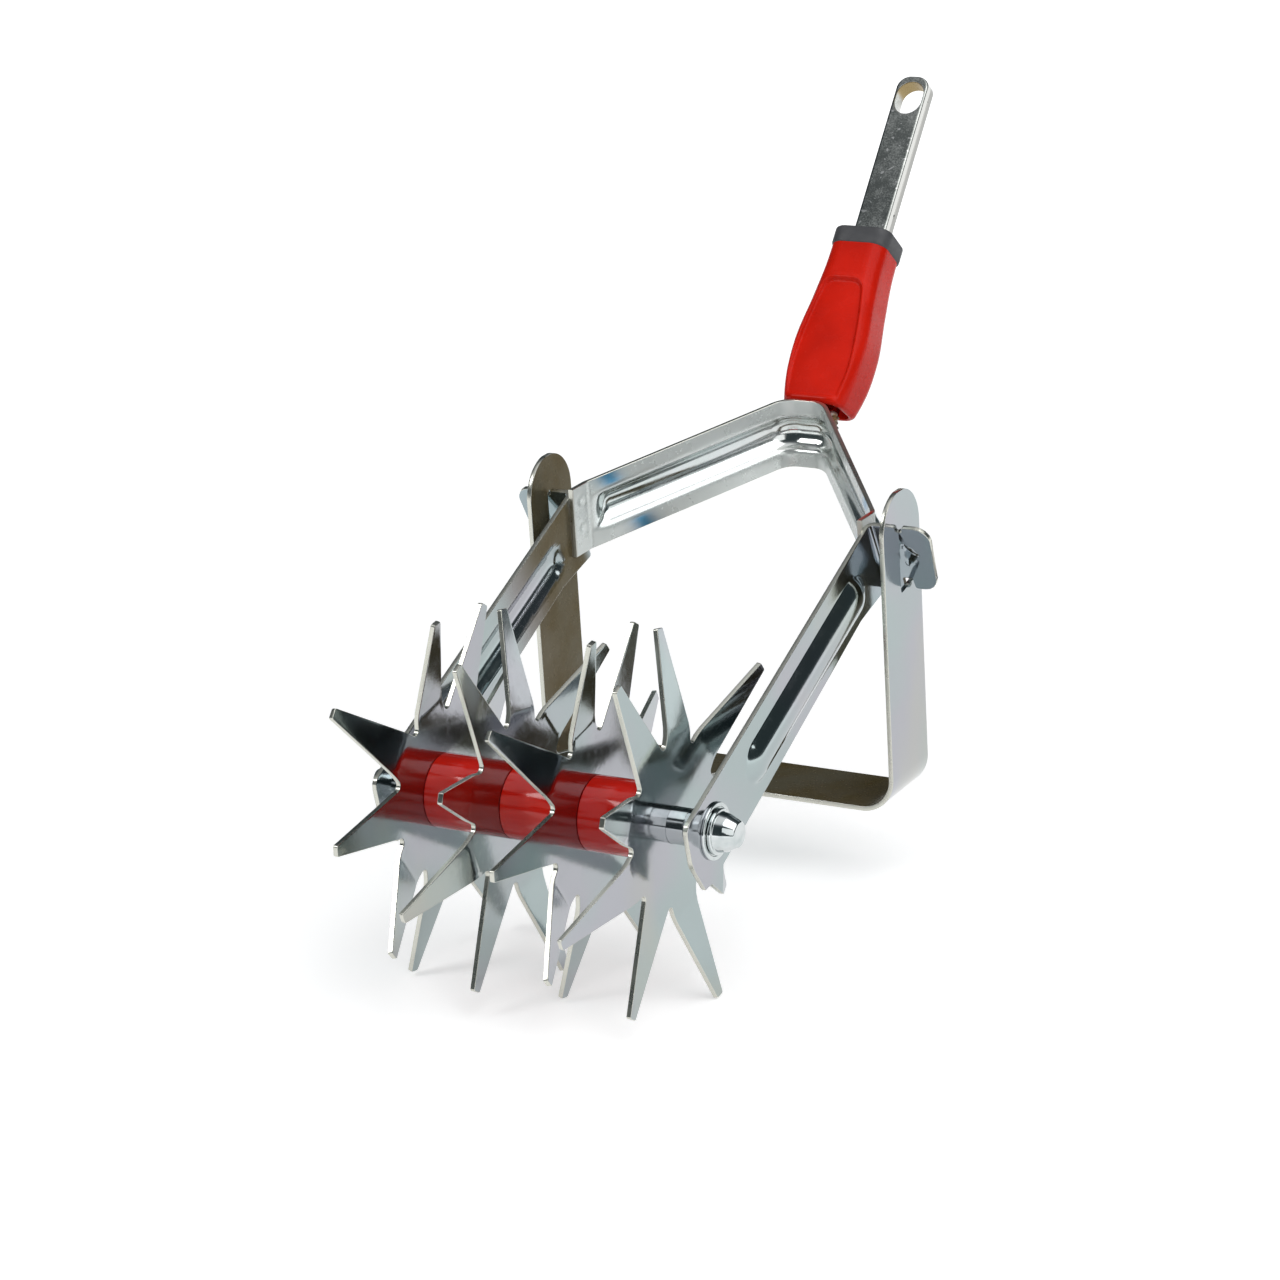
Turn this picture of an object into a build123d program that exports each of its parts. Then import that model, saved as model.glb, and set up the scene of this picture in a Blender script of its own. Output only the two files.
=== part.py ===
from build123d import *
from math import cos, radians, sin, sqrt, tan
import os

# A garden tiller head for a clip-on handle: four star discs turn between two legs,
# and a loose scraper stirrup hangs from the ears of the legs.
# Lengths are millimetres. The origin is the centre of the latch hole in the tang.
# +X runs along the axle, -Y is the way the tool is pushed and +Z is up.

# Place of the axle, measured from the latch hole
axle_reach = 338.3
axle_drop = 204.4

# Sheet metal and fits
sheet = 2.0
running_clearance = 0.05
seat_clearance = 0.05
loose_clearance = 0.3

# Star discs, counted along the axle from -X to +X
star_count = 4
star_pitch = 34.15
spike_count = 9
tip_radius = 75.0
crease_radius = 36.0
crease_width = 17.8
tip_width = 4.4
tip_corner = 0.9
root_radius = 2.3
root_reach = 33.8
spike_bend = 15.0
crease_overlap = 0.4
star_phase = 157.7
star_turn = 60.0

# Axle, hub and the red tubes between the discs
axle_radius = 5.0
hub_radius = 7.2
tube_radius = 14.8
washer_radius = 9.6
washer_thickness = 1.0
end_play = 0.15

# Caps on the axle ends
ring_radius = 11.2
ring_thickness = 1.2
cap_flange_radius = 9.0
cap_flange_height = 1.6
cap_foot_radius = 7.8
cap_end_radius = 4.9
cap_height = 10.0
axle_grip = 6.5

# Legs of the yoke
leg_tilt = 23.0
leg_width = 33.3
leg_corner = 4.0
leg_waist = 135.0
waist_half = 13.3
tip_clearance = 1.0
bead_depth = 4.0
bead_width = 17.0
bead_wall = 1.6
bead_start = 31.0
bead_end = 142.0
heel_back = 16.4
heel_nose = 19.8
tooth_reach = 16.5
tooth_drop = 15.3
notch_reach = 11.8
notch_drop = 16.7
hook_reach = 7.1
hook_drop = 26.2
hook_root = 1.0

# Ears that are folded out of the legs, and the stirrup's pivot in them
ear_along = 160.3
ear_head = 12.9
ear_bend = 3.0
ear_corner = 6.0
neck_width = 5.0
neck_depth = 2.35
neck_rise = 6.65
neck_flare = 4.0
pivot_inset = 1.0
dent_reach = 7.5
dent_half = 5.5
dent_rise = 4.0
dent_depth = 1.2
dent_draft = 45.0
stirrup_swing = 22.0

# Stirrup with the scraper blade
stirrup_gap = 10.3
stirrup_width = 33.4
stirrup_shift = 1.6
stirrup_corner = 14.0
tongue_top = 92.0
blade_drop = 39.4
slot_reach = 25.3

# Crown strap that joins the legs to the tang
crown_height = 29.5
crown_flat = 8.5
crown_bend = 8.0
crown_drop = 0.9
groove_half = 7.0
groove_depth = 5.0
groove_inset = 2.0
fold_back = 2.2
fold_rise = 65.3
flange_length = 12.5
fold_radius = 4.0
guide_lift = 0.5

# Tang with the latch hole
tang_tilt = 48.0
tang_width = 15.0
tang_thickness = 8.0
tang_end = 10.5
tang_bend = 12.0
foot_back = 105.8
foot_length = 15.5
hole_width = 12.6
hole_length = 15.7
tang_edge = 0.8
seam_depth = 0.4
seam_width = 0.6
seam_length = 60.0

# Moulded grip and collar on the tang
collar_top = 68.5
collar_foot = 76.5
collar_half = 13.5
collar_front = 13.0
collar_back = 10.6
collar_corner = 6.5
grip_corner = 7.0
panel_floor = 12.4
panel_corner = 4.0

# Grip sections as places below the hole, half-widths, and depths to the front and the back
grip_sections = [
    (collar_foot, 13.1, 12.9, 10.0),
    (86.0, 13.2, 13.3, 10.5),
    (102.0, 14.5, 13.9, 11.3),
    (124.0, 16.9, 14.2, 11.7),
    (147.0, 15.2, 13.4, 11.2),
    (153.0, 13.8, 12.6, 10.4),
]

# Right half of the sunk panel as half-widths and places below the hole
panel_side = [(8.2, 94.5), (10.0, 101.0), (13.0, 119.0), (13.8, 137.0), (11.6, 150.5)]

# Weld between the crown and the foot of the tang
weld_width = 9.0
weld_height = 3.0

# Values that follow from the sizes above
spike_length = tip_radius - crease_radius
spike_taper = (crease_width - tip_width) / spike_length
spike_throw = spike_length * sin(radians(spike_bend)) + sheet / 2
star_span = (star_count - 1) / 2 * star_pitch
leg_inner = star_span + spike_throw + bead_depth + tip_clearance
leg_outer = leg_inner + sheet
hub_half = leg_inner - washer_thickness - end_play
tube_length = star_pitch - sheet
axle_half = leg_outer + ring_thickness + axle_grip
arm_inner = leg_outer + stirrup_gap
arm_outer = arm_inner + sheet
ear_reach = arm_outer + ear_head
leg_half = leg_width / 2
leg_way = (0, cos(radians(leg_tilt)), sin(radians(leg_tilt)))
leg_square = (0, -leg_way[2], leg_way[1])
ear_back = ear_along * leg_way[1]
pivot_across = leg_half - neck_depth - pivot_inset
pivot_back = ear_back + pivot_across * leg_square[1]
pivot_up = ear_along * leg_way[2] + pivot_across * leg_square[2]
stirrup_back = pivot_back + stirrup_shift
crown_front = axle_reach - foot_back - tang_thickness / 2 - groove_depth - sheet
bend_drop = foot_back * tan(radians(tang_tilt))
crown_rise = axle_drop - bend_drop - crown_drop


def side_plane(x, tilt=0.0):
    """Plane across the axle at x, its first axis going back and up by the tilt."""
    along = (0, cos(radians(tilt)), sin(radians(tilt)))
    return Plane(origin=(x, -axle_reach, -axle_drop), x_dir=along, z_dir=(1, 0, 0))


def from_axle(x, back, up):
    """Point that lies back and up from the axle, at x along it."""
    return (x, back - axle_reach, up - axle_drop)


def tang_plane(along):
    """Plane square to the tang, its second axis pointing to the tang's underside."""
    rise = (0, cos(radians(tang_tilt)), sin(radians(tang_tilt)))
    return Plane(origin=(0, along * rise[1], along * rise[2]), x_dir=(1, 0, 0), z_dir=rise)


axle_line = Axis(from_axle(0, 0, 0), (1, 0, 0))
axle_section = Plane(origin=from_axle(0, 0, 0), x_dir=(1, 0, 0), z_dir=(0, 0, 1))
front_view = Plane(origin=from_axle(0, stirrup_back, 0), x_dir=(1, 0, 0), z_dir=(0, -1, 0))
ear_face = Plane(
    origin=from_axle(0, ear_back, ear_along * leg_way[2]),
    x_dir=(1, 0, 0),
    z_dir=(0, -leg_way[1], -leg_way[2]),
)
leg_edge = Plane(
    origin=from_axle(0, -leg_half * leg_square[1], -leg_half * leg_square[2]),
    x_dir=(1, 0, 0),
    z_dir=leg_square,
)
tang_face = Plane(
    origin=(0, 0, 0),
    x_dir=(1, 0, 0),
    z_dir=(0, -sin(radians(tang_tilt)), cos(radians(tang_tilt))),
)

os.makedirs("parts", exist_ok=True)


def keep(builder, label):
    """Name a finished piece and write its file."""
    builder.part.label = label
    export_step(builder.part, f"parts/{label}.step")


# Star discs: a flat core with nine spikes, pressed to +X, to -X and left straight in turn
for star in range(star_count):
    station = (star - (star_count - 1) / 2) * star_pitch
    turn = star_phase - star_turn * ((star + 1) % 2)
    pitch = 360 / spike_count
    centre_width = crease_width + spike_taper * crease_radius
    with BuildPart() as disc:
        with BuildSketch(side_plane(station, turn)):
            with PolarLocations(0, spike_count):
                Polygon(
                    (0, -centre_width / 2),
                    (crease_radius, -crease_width / 2),
                    (crease_radius, crease_width / 2),
                    (0, centre_width / 2),
                    align=None,
                )
            with PolarLocations(root_reach, spike_count, start_angle=pitch / 2):
                Circle(root_radius, mode=Mode.SUBTRACT)
            Circle(hub_radius + seat_clearance, mode=Mode.SUBTRACT)
        extrude(amount=sheet / 2, both=True)
        for spike in range(spike_count):
            lean = radians(spike_bend) * (1, -1, 0)[spike % 3]
            angle = radians(turn + pitch * spike)
            outward = (0, cos(angle), sin(angle))
            foot = from_axle(station, crease_radius * outward[1], crease_radius * outward[2])
            along = (sin(lean), cos(lean) * outward[1], cos(lean) * outward[2])
            face = (cos(lean), -sin(lean) * outward[1], -sin(lean) * outward[2])
            foot_width = crease_width + spike_taper * crease_overlap
            with BuildSketch(Plane(origin=foot, x_dir=along, z_dir=face)) as blade:
                Polygon(
                    (-crease_overlap, -foot_width / 2),
                    (spike_length, -tip_width / 2),
                    (spike_length, tip_width / 2),
                    (-crease_overlap, foot_width / 2),
                    align=None,
                )
                fillet(blade.vertices().group_by(Axis.X)[-1], tip_corner)
            extrude(amount=sheet / 2, both=True)
    keep(disc, f"star_disc_{star + 1}")

# Red tubes that hold the discs apart
for gap in range(star_count - 1):
    start = (gap - (star_count - 1) / 2) * star_pitch + sheet / 2
    with BuildPart() as tube:
        with BuildSketch(side_plane(start)):
            Circle(tube_radius)
            Circle(hub_radius + seat_clearance, mode=Mode.SUBTRACT)
        extrude(amount=tube_length)
    keep(tube, f"spacer_tube_{gap + 1}")

with BuildPart() as hub_sleeve:
    with BuildSketch(side_plane(-hub_half)):
        Circle(hub_radius)
        Circle(axle_radius + running_clearance, mode=Mode.SUBTRACT)
    extrude(amount=2 * hub_half)
keep(hub_sleeve, "hub_sleeve")

with BuildPart() as axle:
    with BuildSketch(side_plane(-axle_half)):
        Circle(axle_radius)
    extrude(amount=2 * axle_half)
keep(axle, "axle")

# Right-hand fittings of the axle; the left-hand ones are their mirror images
with BuildPart() as right_washer:
    with BuildSketch(side_plane(leg_inner - washer_thickness)):
        Circle(washer_radius)
        Circle(axle_radius + seat_clearance, mode=Mode.SUBTRACT)
    extrude(amount=washer_thickness)
keep(right_washer, "right_washer")

with BuildPart() as right_ring:
    with BuildSketch(side_plane(leg_outer)):
        Circle(ring_radius)
        Circle(axle_radius + seat_clearance, mode=Mode.SUBTRACT)
    extrude(amount=ring_thickness)
keep(right_ring, "right_cap_ring")

cap_foot = leg_outer + ring_thickness
with BuildPart() as right_cap:
    with BuildSketch(axle_section):
        Polygon(
            (cap_foot, axle_radius + seat_clearance),
            (cap_foot, cap_flange_radius),
            (cap_foot + cap_flange_height, cap_flange_radius),
            (cap_foot + cap_flange_height, cap_foot_radius),
            (cap_foot + cap_height, cap_end_radius),
            (cap_foot + cap_height, 0),
            (axle_half, 0),
            (axle_half, axle_radius + seat_clearance),
            align=None,
        )
    revolve(axis=axle_line)
keep(right_cap, "right_cap")

# Legs: pressed sheet with a long bead, a hooked lower end and an ear folded outwards
ear_start = ear_along - ear_bend
arm_middle = arm_inner + sheet / 2
dent_start = arm_outer + loose_clearance
groove_sink = sheet + bead_depth - bead_wall
groove_radius = ((bead_width / 2) ** 2 + groove_sink**2) / (2 * groove_sink)
bead_axis = leg_outer - groove_sink + groove_radius
bead_from = bead_start + bead_width / 2
bead_to = bead_end - bead_width / 2
bead_line = side_plane(bead_axis, leg_tilt)
bead_ends = [bead_line.from_local_coords((s, 0, 0)) for s in (bead_from, bead_to)]
bead_cross = Plane(origin=bead_ends[0], x_dir=(1, 0, 0), z_dir=bead_line.x_dir)
with BuildPart() as right_leg:
    with BuildSketch(side_plane(leg_inner, leg_tilt)) as outline:
        Polygon(
            (ear_start, leg_half),
            (-heel_back, leg_half),
            (-heel_nose, 0),
            (-tooth_reach, -tooth_drop),
            (-notch_reach, -notch_drop),
            (-hook_reach, -hook_drop),
            (-hook_root, -leg_half),
            (leg_waist, -waist_half),
            (ear_start, -leg_half),
            align=None,
        )
        fillet(outline.vertices().sort_by_distance((-heel_back, leg_half))[0], leg_corner)
        Circle(axle_radius + seat_clearance, mode=Mode.SUBTRACT)
    extrude(amount=sheet)
    with BuildSketch(bead_cross):
        Circle(groove_radius + bead_wall)
    extrude(amount=bead_to - bead_from)
    with Locations(*bead_ends):
        Sphere(groove_radius + bead_wall)
    split(bisect_by=Plane.YZ.offset(leg_outer), keep=Keep.BOTTOM)
    with BuildSketch(bead_cross):
        Circle(groove_radius)
    extrude(amount=bead_to - bead_from, mode=Mode.SUBTRACT)
    with Locations(*bead_ends):
        Sphere(groove_radius, mode=Mode.SUBTRACT)
    with BuildSketch(leg_edge):
        with BuildLine():
            FilletPolyline(
                (leg_outer - sheet / 2, ear_start - sheet),
                (leg_outer - sheet / 2, ear_along),
                (ear_reach, ear_along),
                radius=ear_bend,
            )
        trace(line_width=sheet)
    extrude(amount=leg_width)
    corners = right_leg.edges().filter_by(Axis((0, 0, 0), leg_way)).group_by(Axis.X)[-1]
    fillet(corners, ear_corner)
    with BuildSketch(ear_face):
        with Locations((arm_middle, leg_half)):
            Rectangle(neck_width, 2 * neck_depth)
        Polygon(
            (arm_middle - neck_width / 2, neck_rise - leg_half),
            (arm_middle + neck_width / 2, neck_rise - leg_half),
            (arm_middle + neck_width / 2 + neck_flare, -leg_half),
            (arm_middle - neck_width / 2, -leg_half),
            align=None,
        )
    extrude(amount=sheet, both=True, mode=Mode.SUBTRACT)
    dent_corners = [
        (dent_start, dent_rise - dent_half),
        (dent_start + dent_reach, dent_rise),
        (dent_start, dent_rise + dent_half),
    ]
    with BuildSketch(ear_face.offset(-sheet / 2)):
        Polygon(*dent_corners, align=None)
    extrude(amount=-dent_depth, taper=dent_draft)
    with BuildSketch(ear_face.offset(sheet / 2)):
        Polygon(*dent_corners, align=None)
    extrude(amount=-dent_depth, taper=dent_draft, mode=Mode.SUBTRACT)
keep(right_leg, "right_leg")

for side in (right_washer, right_ring, right_cap, right_leg):
    label = side.part.label.replace("right", "left")
    with BuildPart() as twin:
        mirror(side.part, about=Plane.YZ)
    keep(twin, label)

# Stirrup: a bent strap whose arms hang on the necks of the ears
slot_half = sheet / 2 + loose_clearance
tongue_radius = stirrup_width / 2
pivot_view = Plane(origin=from_axle(0, pivot_back, pivot_up), x_dir=(0, 1, 0), z_dir=(1, 0, 0))


def slot_side(turn, side):
    """Upper and lower end of one side of the slot, turned back from the upright about the pivot."""
    back, up = sin(radians(turn)), cos(radians(turn))
    start = (side * slot_half * up, side * slot_half * back)
    return [start, (start[0] + slot_reach * back, start[1] - slot_reach * up)]


with BuildPart() as stirrup:
    with BuildSketch(front_view):
        with BuildLine():
            FilletPolyline(
                (-arm_middle, tongue_top),
                (-arm_middle, -blade_drop),
                (arm_middle, -blade_drop),
                (arm_middle, tongue_top),
                radius=stirrup_corner,
            )
        trace(line_width=sheet)
    extrude(amount=stirrup_width / 2, both=True)
    tips = stirrup.edges().filter_by(Axis.X).group_by(Axis.Z)[-1]
    fillet(tips, tongue_radius - loose_clearance)
    with BuildSketch(pivot_view):
        Circle(pivot_inset + 2 * loose_clearance)
        Polygon(
            *slot_side(leg_tilt, 1),
            *reversed(slot_side(leg_tilt - stirrup_swing, -1)),
            align=None,
        )
    extrude(amount=arm_outer + sheet, both=True, mode=Mode.SUBTRACT)
keep(stirrup, "stirrup")

# Crown: a strap bent to a flat-nosed vee, with a flange on each leg and a pressed groove
fold_x = leg_inner - sheet
fold_y = ear_back + fold_back
flange_y = fold_y - flange_length
arm_back = crown_front - fold_y
arm_in = fold_x - crown_flat
arm_up = crown_rise - fold_rise
arm_length = sqrt(arm_back**2 + arm_in**2 + arm_up**2)


def crown_points(inset, flanges):
    """Corner points of the strap's front face, the outer ones moved in from the folds."""
    share = inset / arm_length
    outer = (fold_x - arm_in * share, fold_y + arm_back * share, fold_rise + arm_up * share)
    half = [from_axle(crown_flat, crown_front, crown_rise), from_axle(*outer)]
    if flanges:
        half.append(from_axle(fold_x, flange_y, fold_rise))
    return [(-x, y, z) for x, y, z in reversed(half)] + half


def crown_spine(points, radii, lift=0.0):
    """Bent line through the points, moved up by the lift."""
    return Wire(FilletPolyline(*[(x, y, z + lift) for x, y, z in points], radius=radii).edges())


def strap_section(points):
    """Upright plane across the start of the strap, its first axis pointing out of the vee."""
    ahead = Vector(*points[1]) - Vector(*points[0])
    outwards = Vector(-ahead.Y, ahead.X, 0)
    return Plane(origin=points[0], x_dir=outwards, z_dir=Vector(ahead.X, ahead.Y, 0))


strap_points = crown_points(0, True)
ridge_points = crown_points(groove_inset, False)
groove_points = crown_points(groove_inset + sheet, False)
strap_radii = [fold_radius, crown_bend, crown_bend, fold_radius]
groove_radii = [crown_bend, crown_bend]
strap_spine = crown_spine(strap_points, strap_radii)
strap_guide = crown_spine(strap_points, strap_radii, guide_lift)
ridge_spine = crown_spine(ridge_points, groove_radii)
ridge_guide = crown_spine(ridge_points, groove_radii, guide_lift)
groove_spine = crown_spine(groove_points, groove_radii)
groove_guide = crown_spine(groove_points, groove_radii, guide_lift)
with BuildPart() as crown:
    with BuildSketch(strap_section(strap_points)):
        with Locations((sheet / 2, 0)):
            Rectangle(sheet, crown_height)
    sweep(path=strap_spine, binormal=strap_guide)
    with BuildSketch(strap_section(ridge_points)):
        with BuildLine():
            ThreePointArc(
                (sheet / 2, -groove_half - sheet),
                (groove_depth + sheet, 0),
                (sheet / 2, groove_half + sheet),
            )
            Line((sheet / 2, groove_half + sheet), (sheet / 2, -groove_half - sheet))
        make_face()
    sweep(path=ridge_spine, binormal=ridge_guide)
    with BuildSketch(strap_section(groove_points)):
        with BuildLine():
            Polyline((0, groove_half), (-sheet, groove_half), (-sheet, -groove_half), (0, -groove_half))
            ThreePointArc((0, -groove_half), (groove_depth, 0), (0, groove_half))
        make_face()
    sweep(path=groove_spine, binormal=groove_guide, mode=Mode.SUBTRACT)
keep(crown, "crown")

weld_rise = crown_rise - crown_height / 2 + weld_height / 2
with BuildPart() as weld:
    with BuildSketch(Plane.XY.offset(weld_rise - weld_height / 2 - axle_drop)):
        with Locations((0, crown_front + sheet + groove_depth / 2 - axle_reach)):
            Rectangle(weld_width, groove_depth)
    extrude(amount=weld_height)
    fillet(weld.edges().filter_by(Axis.Y), weld_height / 3)
keep(weld, "tang_weld")

# Tang: a flat bar with the latch hole, bent down to a foot behind the crown
tang_path = [
    (0, -foot_back, -bend_drop - foot_length),
    (0, -foot_back, -bend_drop),
    (0, tang_end * cos(radians(tang_tilt)), tang_end * sin(radians(tang_tilt))),
]
with BuildPart() as tang:
    with BuildLine() as spine:
        FilletPolyline(*tang_path, radius=tang_bend)
    with BuildSketch(Plane(origin=tang_path[0], x_dir=(1, 0, 0), z_dir=(0, 0, 1))):
        Rectangle(tang_width, tang_thickness)
    sweep(path=spine.line)
    fillet(tang.edges().filter_by(Axis((0, 0, 0), tang_face.z_dir)), tang_width / 2 - tang_edge)
    fillet(tang.edges().filter_by(Axis.Y), tang_width / 2 - tang_edge)
    with BuildSketch(tang_face):
        SlotOverall(hole_length, hole_width, rotation=90)
    extrude(amount=tang_thickness, both=True, mode=Mode.SUBTRACT)
    with BuildSketch(tang_face):
        with Locations((-tang_width / 2, -seam_length / 2), (tang_width / 2, -seam_length / 2)):
            Rectangle(2 * seam_depth, seam_length)
    extrude(amount=seam_width / 2, both=True, mode=Mode.SUBTRACT)
keep(tang, "tang")

# Grip: a moulding that swells towards its foot, open for the tang, with a sunk front panel
grip_foot = grip_sections[-1][0]
with BuildPart() as grip:
    for place, half, front, back in grip_sections:
        with BuildSketch(tang_plane(-place)):
            with Locations((0, (back - front) / 2)):
                RectangleRounded(2 * half, front + back, grip_corner)
    loft()
    with BuildSketch(tang_plane(-grip_foot)):
        Rectangle(tang_width + 2 * seat_clearance, tang_thickness + 2 * seat_clearance)
    extrude(amount=grip_foot, mode=Mode.SUBTRACT)
    with BuildSketch(tang_face.offset(panel_floor)) as panel:
        right_side = [(half, -place) for half, place in panel_side]
        Polygon(*right_side, *[(-x, y) for x, y in reversed(right_side)], align=None)
        fillet(panel.vertices().group_by(Axis.Y)[-1], panel_corner)
    extrude(amount=collar_front, mode=Mode.SUBTRACT)
keep(grip, "grip")

with BuildPart() as collar:
    with BuildSketch(tang_plane(-collar_foot)):
        with Locations((0, (collar_back - collar_front) / 2)):
            RectangleRounded(2 * collar_half, collar_front + collar_back, collar_corner)
        Rectangle(tang_width + 2 * seat_clearance, tang_thickness + 2 * seat_clearance, mode=Mode.SUBTRACT)
    extrude(amount=collar_foot - collar_top)
keep(collar, "grip_collar")
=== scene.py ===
"""Looks of a garden tiller head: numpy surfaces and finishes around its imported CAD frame."""

import logging
from dataclasses import dataclass
from enum import Enum

import bpy
import numpy as np
from mathutils import Matrix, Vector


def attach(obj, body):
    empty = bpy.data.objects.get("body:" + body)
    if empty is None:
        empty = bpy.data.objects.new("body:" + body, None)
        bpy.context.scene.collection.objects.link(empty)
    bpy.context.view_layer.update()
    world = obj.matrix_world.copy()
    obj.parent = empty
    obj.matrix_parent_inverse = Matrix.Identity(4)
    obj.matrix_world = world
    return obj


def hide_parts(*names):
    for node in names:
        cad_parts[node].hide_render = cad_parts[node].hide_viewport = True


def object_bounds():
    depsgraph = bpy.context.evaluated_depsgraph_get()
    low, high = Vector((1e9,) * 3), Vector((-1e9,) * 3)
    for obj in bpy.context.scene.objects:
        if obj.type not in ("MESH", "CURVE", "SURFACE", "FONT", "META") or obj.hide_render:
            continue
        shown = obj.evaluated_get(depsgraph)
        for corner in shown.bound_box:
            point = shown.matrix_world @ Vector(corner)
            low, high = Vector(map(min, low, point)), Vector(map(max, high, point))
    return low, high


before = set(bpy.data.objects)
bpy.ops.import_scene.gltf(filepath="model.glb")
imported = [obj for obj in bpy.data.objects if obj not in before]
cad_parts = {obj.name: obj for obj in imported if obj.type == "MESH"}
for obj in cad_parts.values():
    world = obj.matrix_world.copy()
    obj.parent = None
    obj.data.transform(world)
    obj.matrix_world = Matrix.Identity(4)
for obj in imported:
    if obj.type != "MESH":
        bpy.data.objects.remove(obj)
cad_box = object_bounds()

log = logging.getLogger("tiller")
Array = np.ndarray
Piece = bpy.types.Object
Socket = bpy.types.NodeSocket
Material = bpy.types.Material
Triple = tuple[float, float, float]
Pair = tuple[float, float]

MILLIMETRE = 0.001
NEARLY_ZERO = 1e-9
AXLE = np.array([0.0, -338.3, -204.4])
ACROSS = np.array([1.0, 0.0, 0.0])
BACK = np.array([0.0, 1.0, 0.0])
UP = np.array([0.0, 0.0, 1.0])
PLANE = np.eye(2)
RIM_TURN = np.radians([60.0, 30.0, 0.0, -30.0, -60.0])


class Body(Enum):
    """Rigid bodies that pieces ride on."""

    YOKE = "yoke"
    ROTOR = "rotor"
    STIRRUP = "stirrup"


class Side(Enum):
    """Hand of a mirrored piece, as the sign of its place along the axle."""

    LEFT = -1
    RIGHT = 1

    @property
    def hand(self) -> str:
        """The side's name, as pieces and nodes carry it."""
        return self.name.lower()


class Slot(Enum):
    """Material slots of the record."""

    ZINC = "zinc_steel"
    BRIGHT = "bright_fitting"
    TANG = "tang_steel"
    TUBE = "red_gloss"
    GRIP = "red_grip"
    COLLAR = "dark_collar"


def ease(value: Array) -> Array:
    """Rise from 0 to 1 with level ends: t squared times 3 minus 2 t, with t held to 0..1."""
    t = np.clip(value, 0.0, 1.0)
    return t * t * (3.0 - 2.0 * t)


def unit(vectors: Array) -> Array:
    """Scale vectors along the last axis to length 1."""
    return vectors / np.maximum(np.linalg.norm(vectors, axis=-1, keepdims=True), NEARLY_ZERO)


def circle(angle: Array, first: Array, second: Array) -> Array:
    """Directions at angles: the cosine times the first axis plus the sine times the second."""
    return np.cos(angle)[..., None] * first + np.sin(angle)[..., None] * second


def round_angles(count: int) -> Array:
    """Angles evenly spaced round a full circle."""
    return np.linspace(0.0, 2 * np.pi, count, endpoint=False)


def lengths(path: Array) -> Array:
    """Distance along a polyline from its start to each of its points."""
    return np.concatenate([[0.0], np.cumsum(np.linalg.norm(np.diff(path, axis=0), axis=1))])


def straight(start: Array, stop: Array, step: float) -> Array:
    """Evenly spaced points from start to stop, both included, no further apart than step."""
    count = max(int(np.ceil(np.linalg.norm(stop - start) / step)), 1)
    return start + (stop - start) * np.linspace(0.0, 1.0, count + 1)[:, None]


def arc_between(start: Array, stop: Array, centre: Array, count: int) -> Array:
    """Arc about a centre: its two end radii weighted by sines of the angle left and done.

    Args:
        start: First point.
        stop: Last point.
        centre: Centre of the arc.
        count: Number of points, both ends included.

    Returns:
        Array (count, dimensions).
    """
    first, last = start - centre, stop - centre
    angle = np.arccos(np.clip(unit(first) @ unit(last), -1.0, 1.0))
    t = np.linspace(0.0, 1.0, count)[:, None]
    return centre + (np.sin((1 - t) * angle) * first + np.sin(t * angle) * last) / np.sin(angle)


def fillet(
    before: Array, here: Array, after: Array, radius: float
) -> tuple[Array, Array, Array, float]:
    """Arc that touches both runs at a corner, at the radius times the tangent of half the turn.

    Args:
        before: Corner before this one.
        here: The corner.
        after: Corner after it.
        radius: Radius of the arc.

    Returns:
        Its first point, last point and centre, and half of its turn.
    """
    to_before, to_after = unit(before - here), unit(after - here)
    half_turn = np.arccos(np.clip(-to_before @ to_after, -1.0, 1.0)) / 2
    reach = radius * np.tan(half_turn)
    centre = here + unit(to_before + to_after) * radius / np.cos(half_turn)
    return here + to_before * reach, here + to_after * reach, centre, half_turn


def bent_path(corners: Array, radii: list[float], step: float) -> Array:
    """Bent line through corner points, each inner corner an arc that touches both of its runs.

    Args:
        corners: Array (n, dimensions) of corner points.
        radii: Radius of each inner corner.
        step: Largest spacing of the points; arcs take a quarter of it, in 6 points or more.

    Returns:
        Array (m, dimensions) of points.
    """
    runs, last = [corners[:1]], corners[0]
    for before, here, after, radius in zip(corners, corners[1:], corners[2:], radii):
        start, stop, centre, half_turn = fillet(before, here, after, radius)
        count = max(int(np.ceil(8 * half_turn * radius / step)), 6)
        runs += [straight(last, start, step)[1:], arc_between(start, stop, centre, count)[1:]]
        last = stop
    return np.concatenate([*runs, straight(last, corners[-1], step)[1:]])


def rounded_outline(corners: Array, radii: list[float], count: int = 6) -> Array:
    """Closed outline with each corner an arc that touches its two sides.

    Args:
        corners: Array (n, 2) of corners in order.
        radii: Radius at each corner.
        count: Points on each arc.

    Returns:
        Array (n times count, 2).
    """
    befores, afters = np.roll(corners, 1, axis=0), np.roll(corners, -1, axis=0)
    arcs = [fillet(*spot)[:3] for spot in zip(befores, corners, afters, radii)]
    return np.concatenate([arc_between(*arc, count) for arc in arcs])


def spline(knots: Array, values: Array, places: Array) -> Array:
    """Cubic curve through the knots, its slope at each one that of its two neighbours' chord.

    Args:
        knots: Rising places of the knots.
        values: Values at the knots.
        places: Places to read.

    Returns:
        Values at the places.
    """
    slopes = np.gradient(values, knots)
    i = np.clip(np.searchsorted(knots, places) - 1, 0, len(knots) - 2)
    span = knots[i + 1] - knots[i]
    t = (places - knots[i]) / span
    rise = ease(t)
    leave = t * (1 - t) ** 2 * span * slopes[i]
    arrive = t * t * (1 - t) * span * slopes[i + 1]
    return values[i] * (1 - rise) + values[i + 1] * rise + leave - arrive


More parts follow.
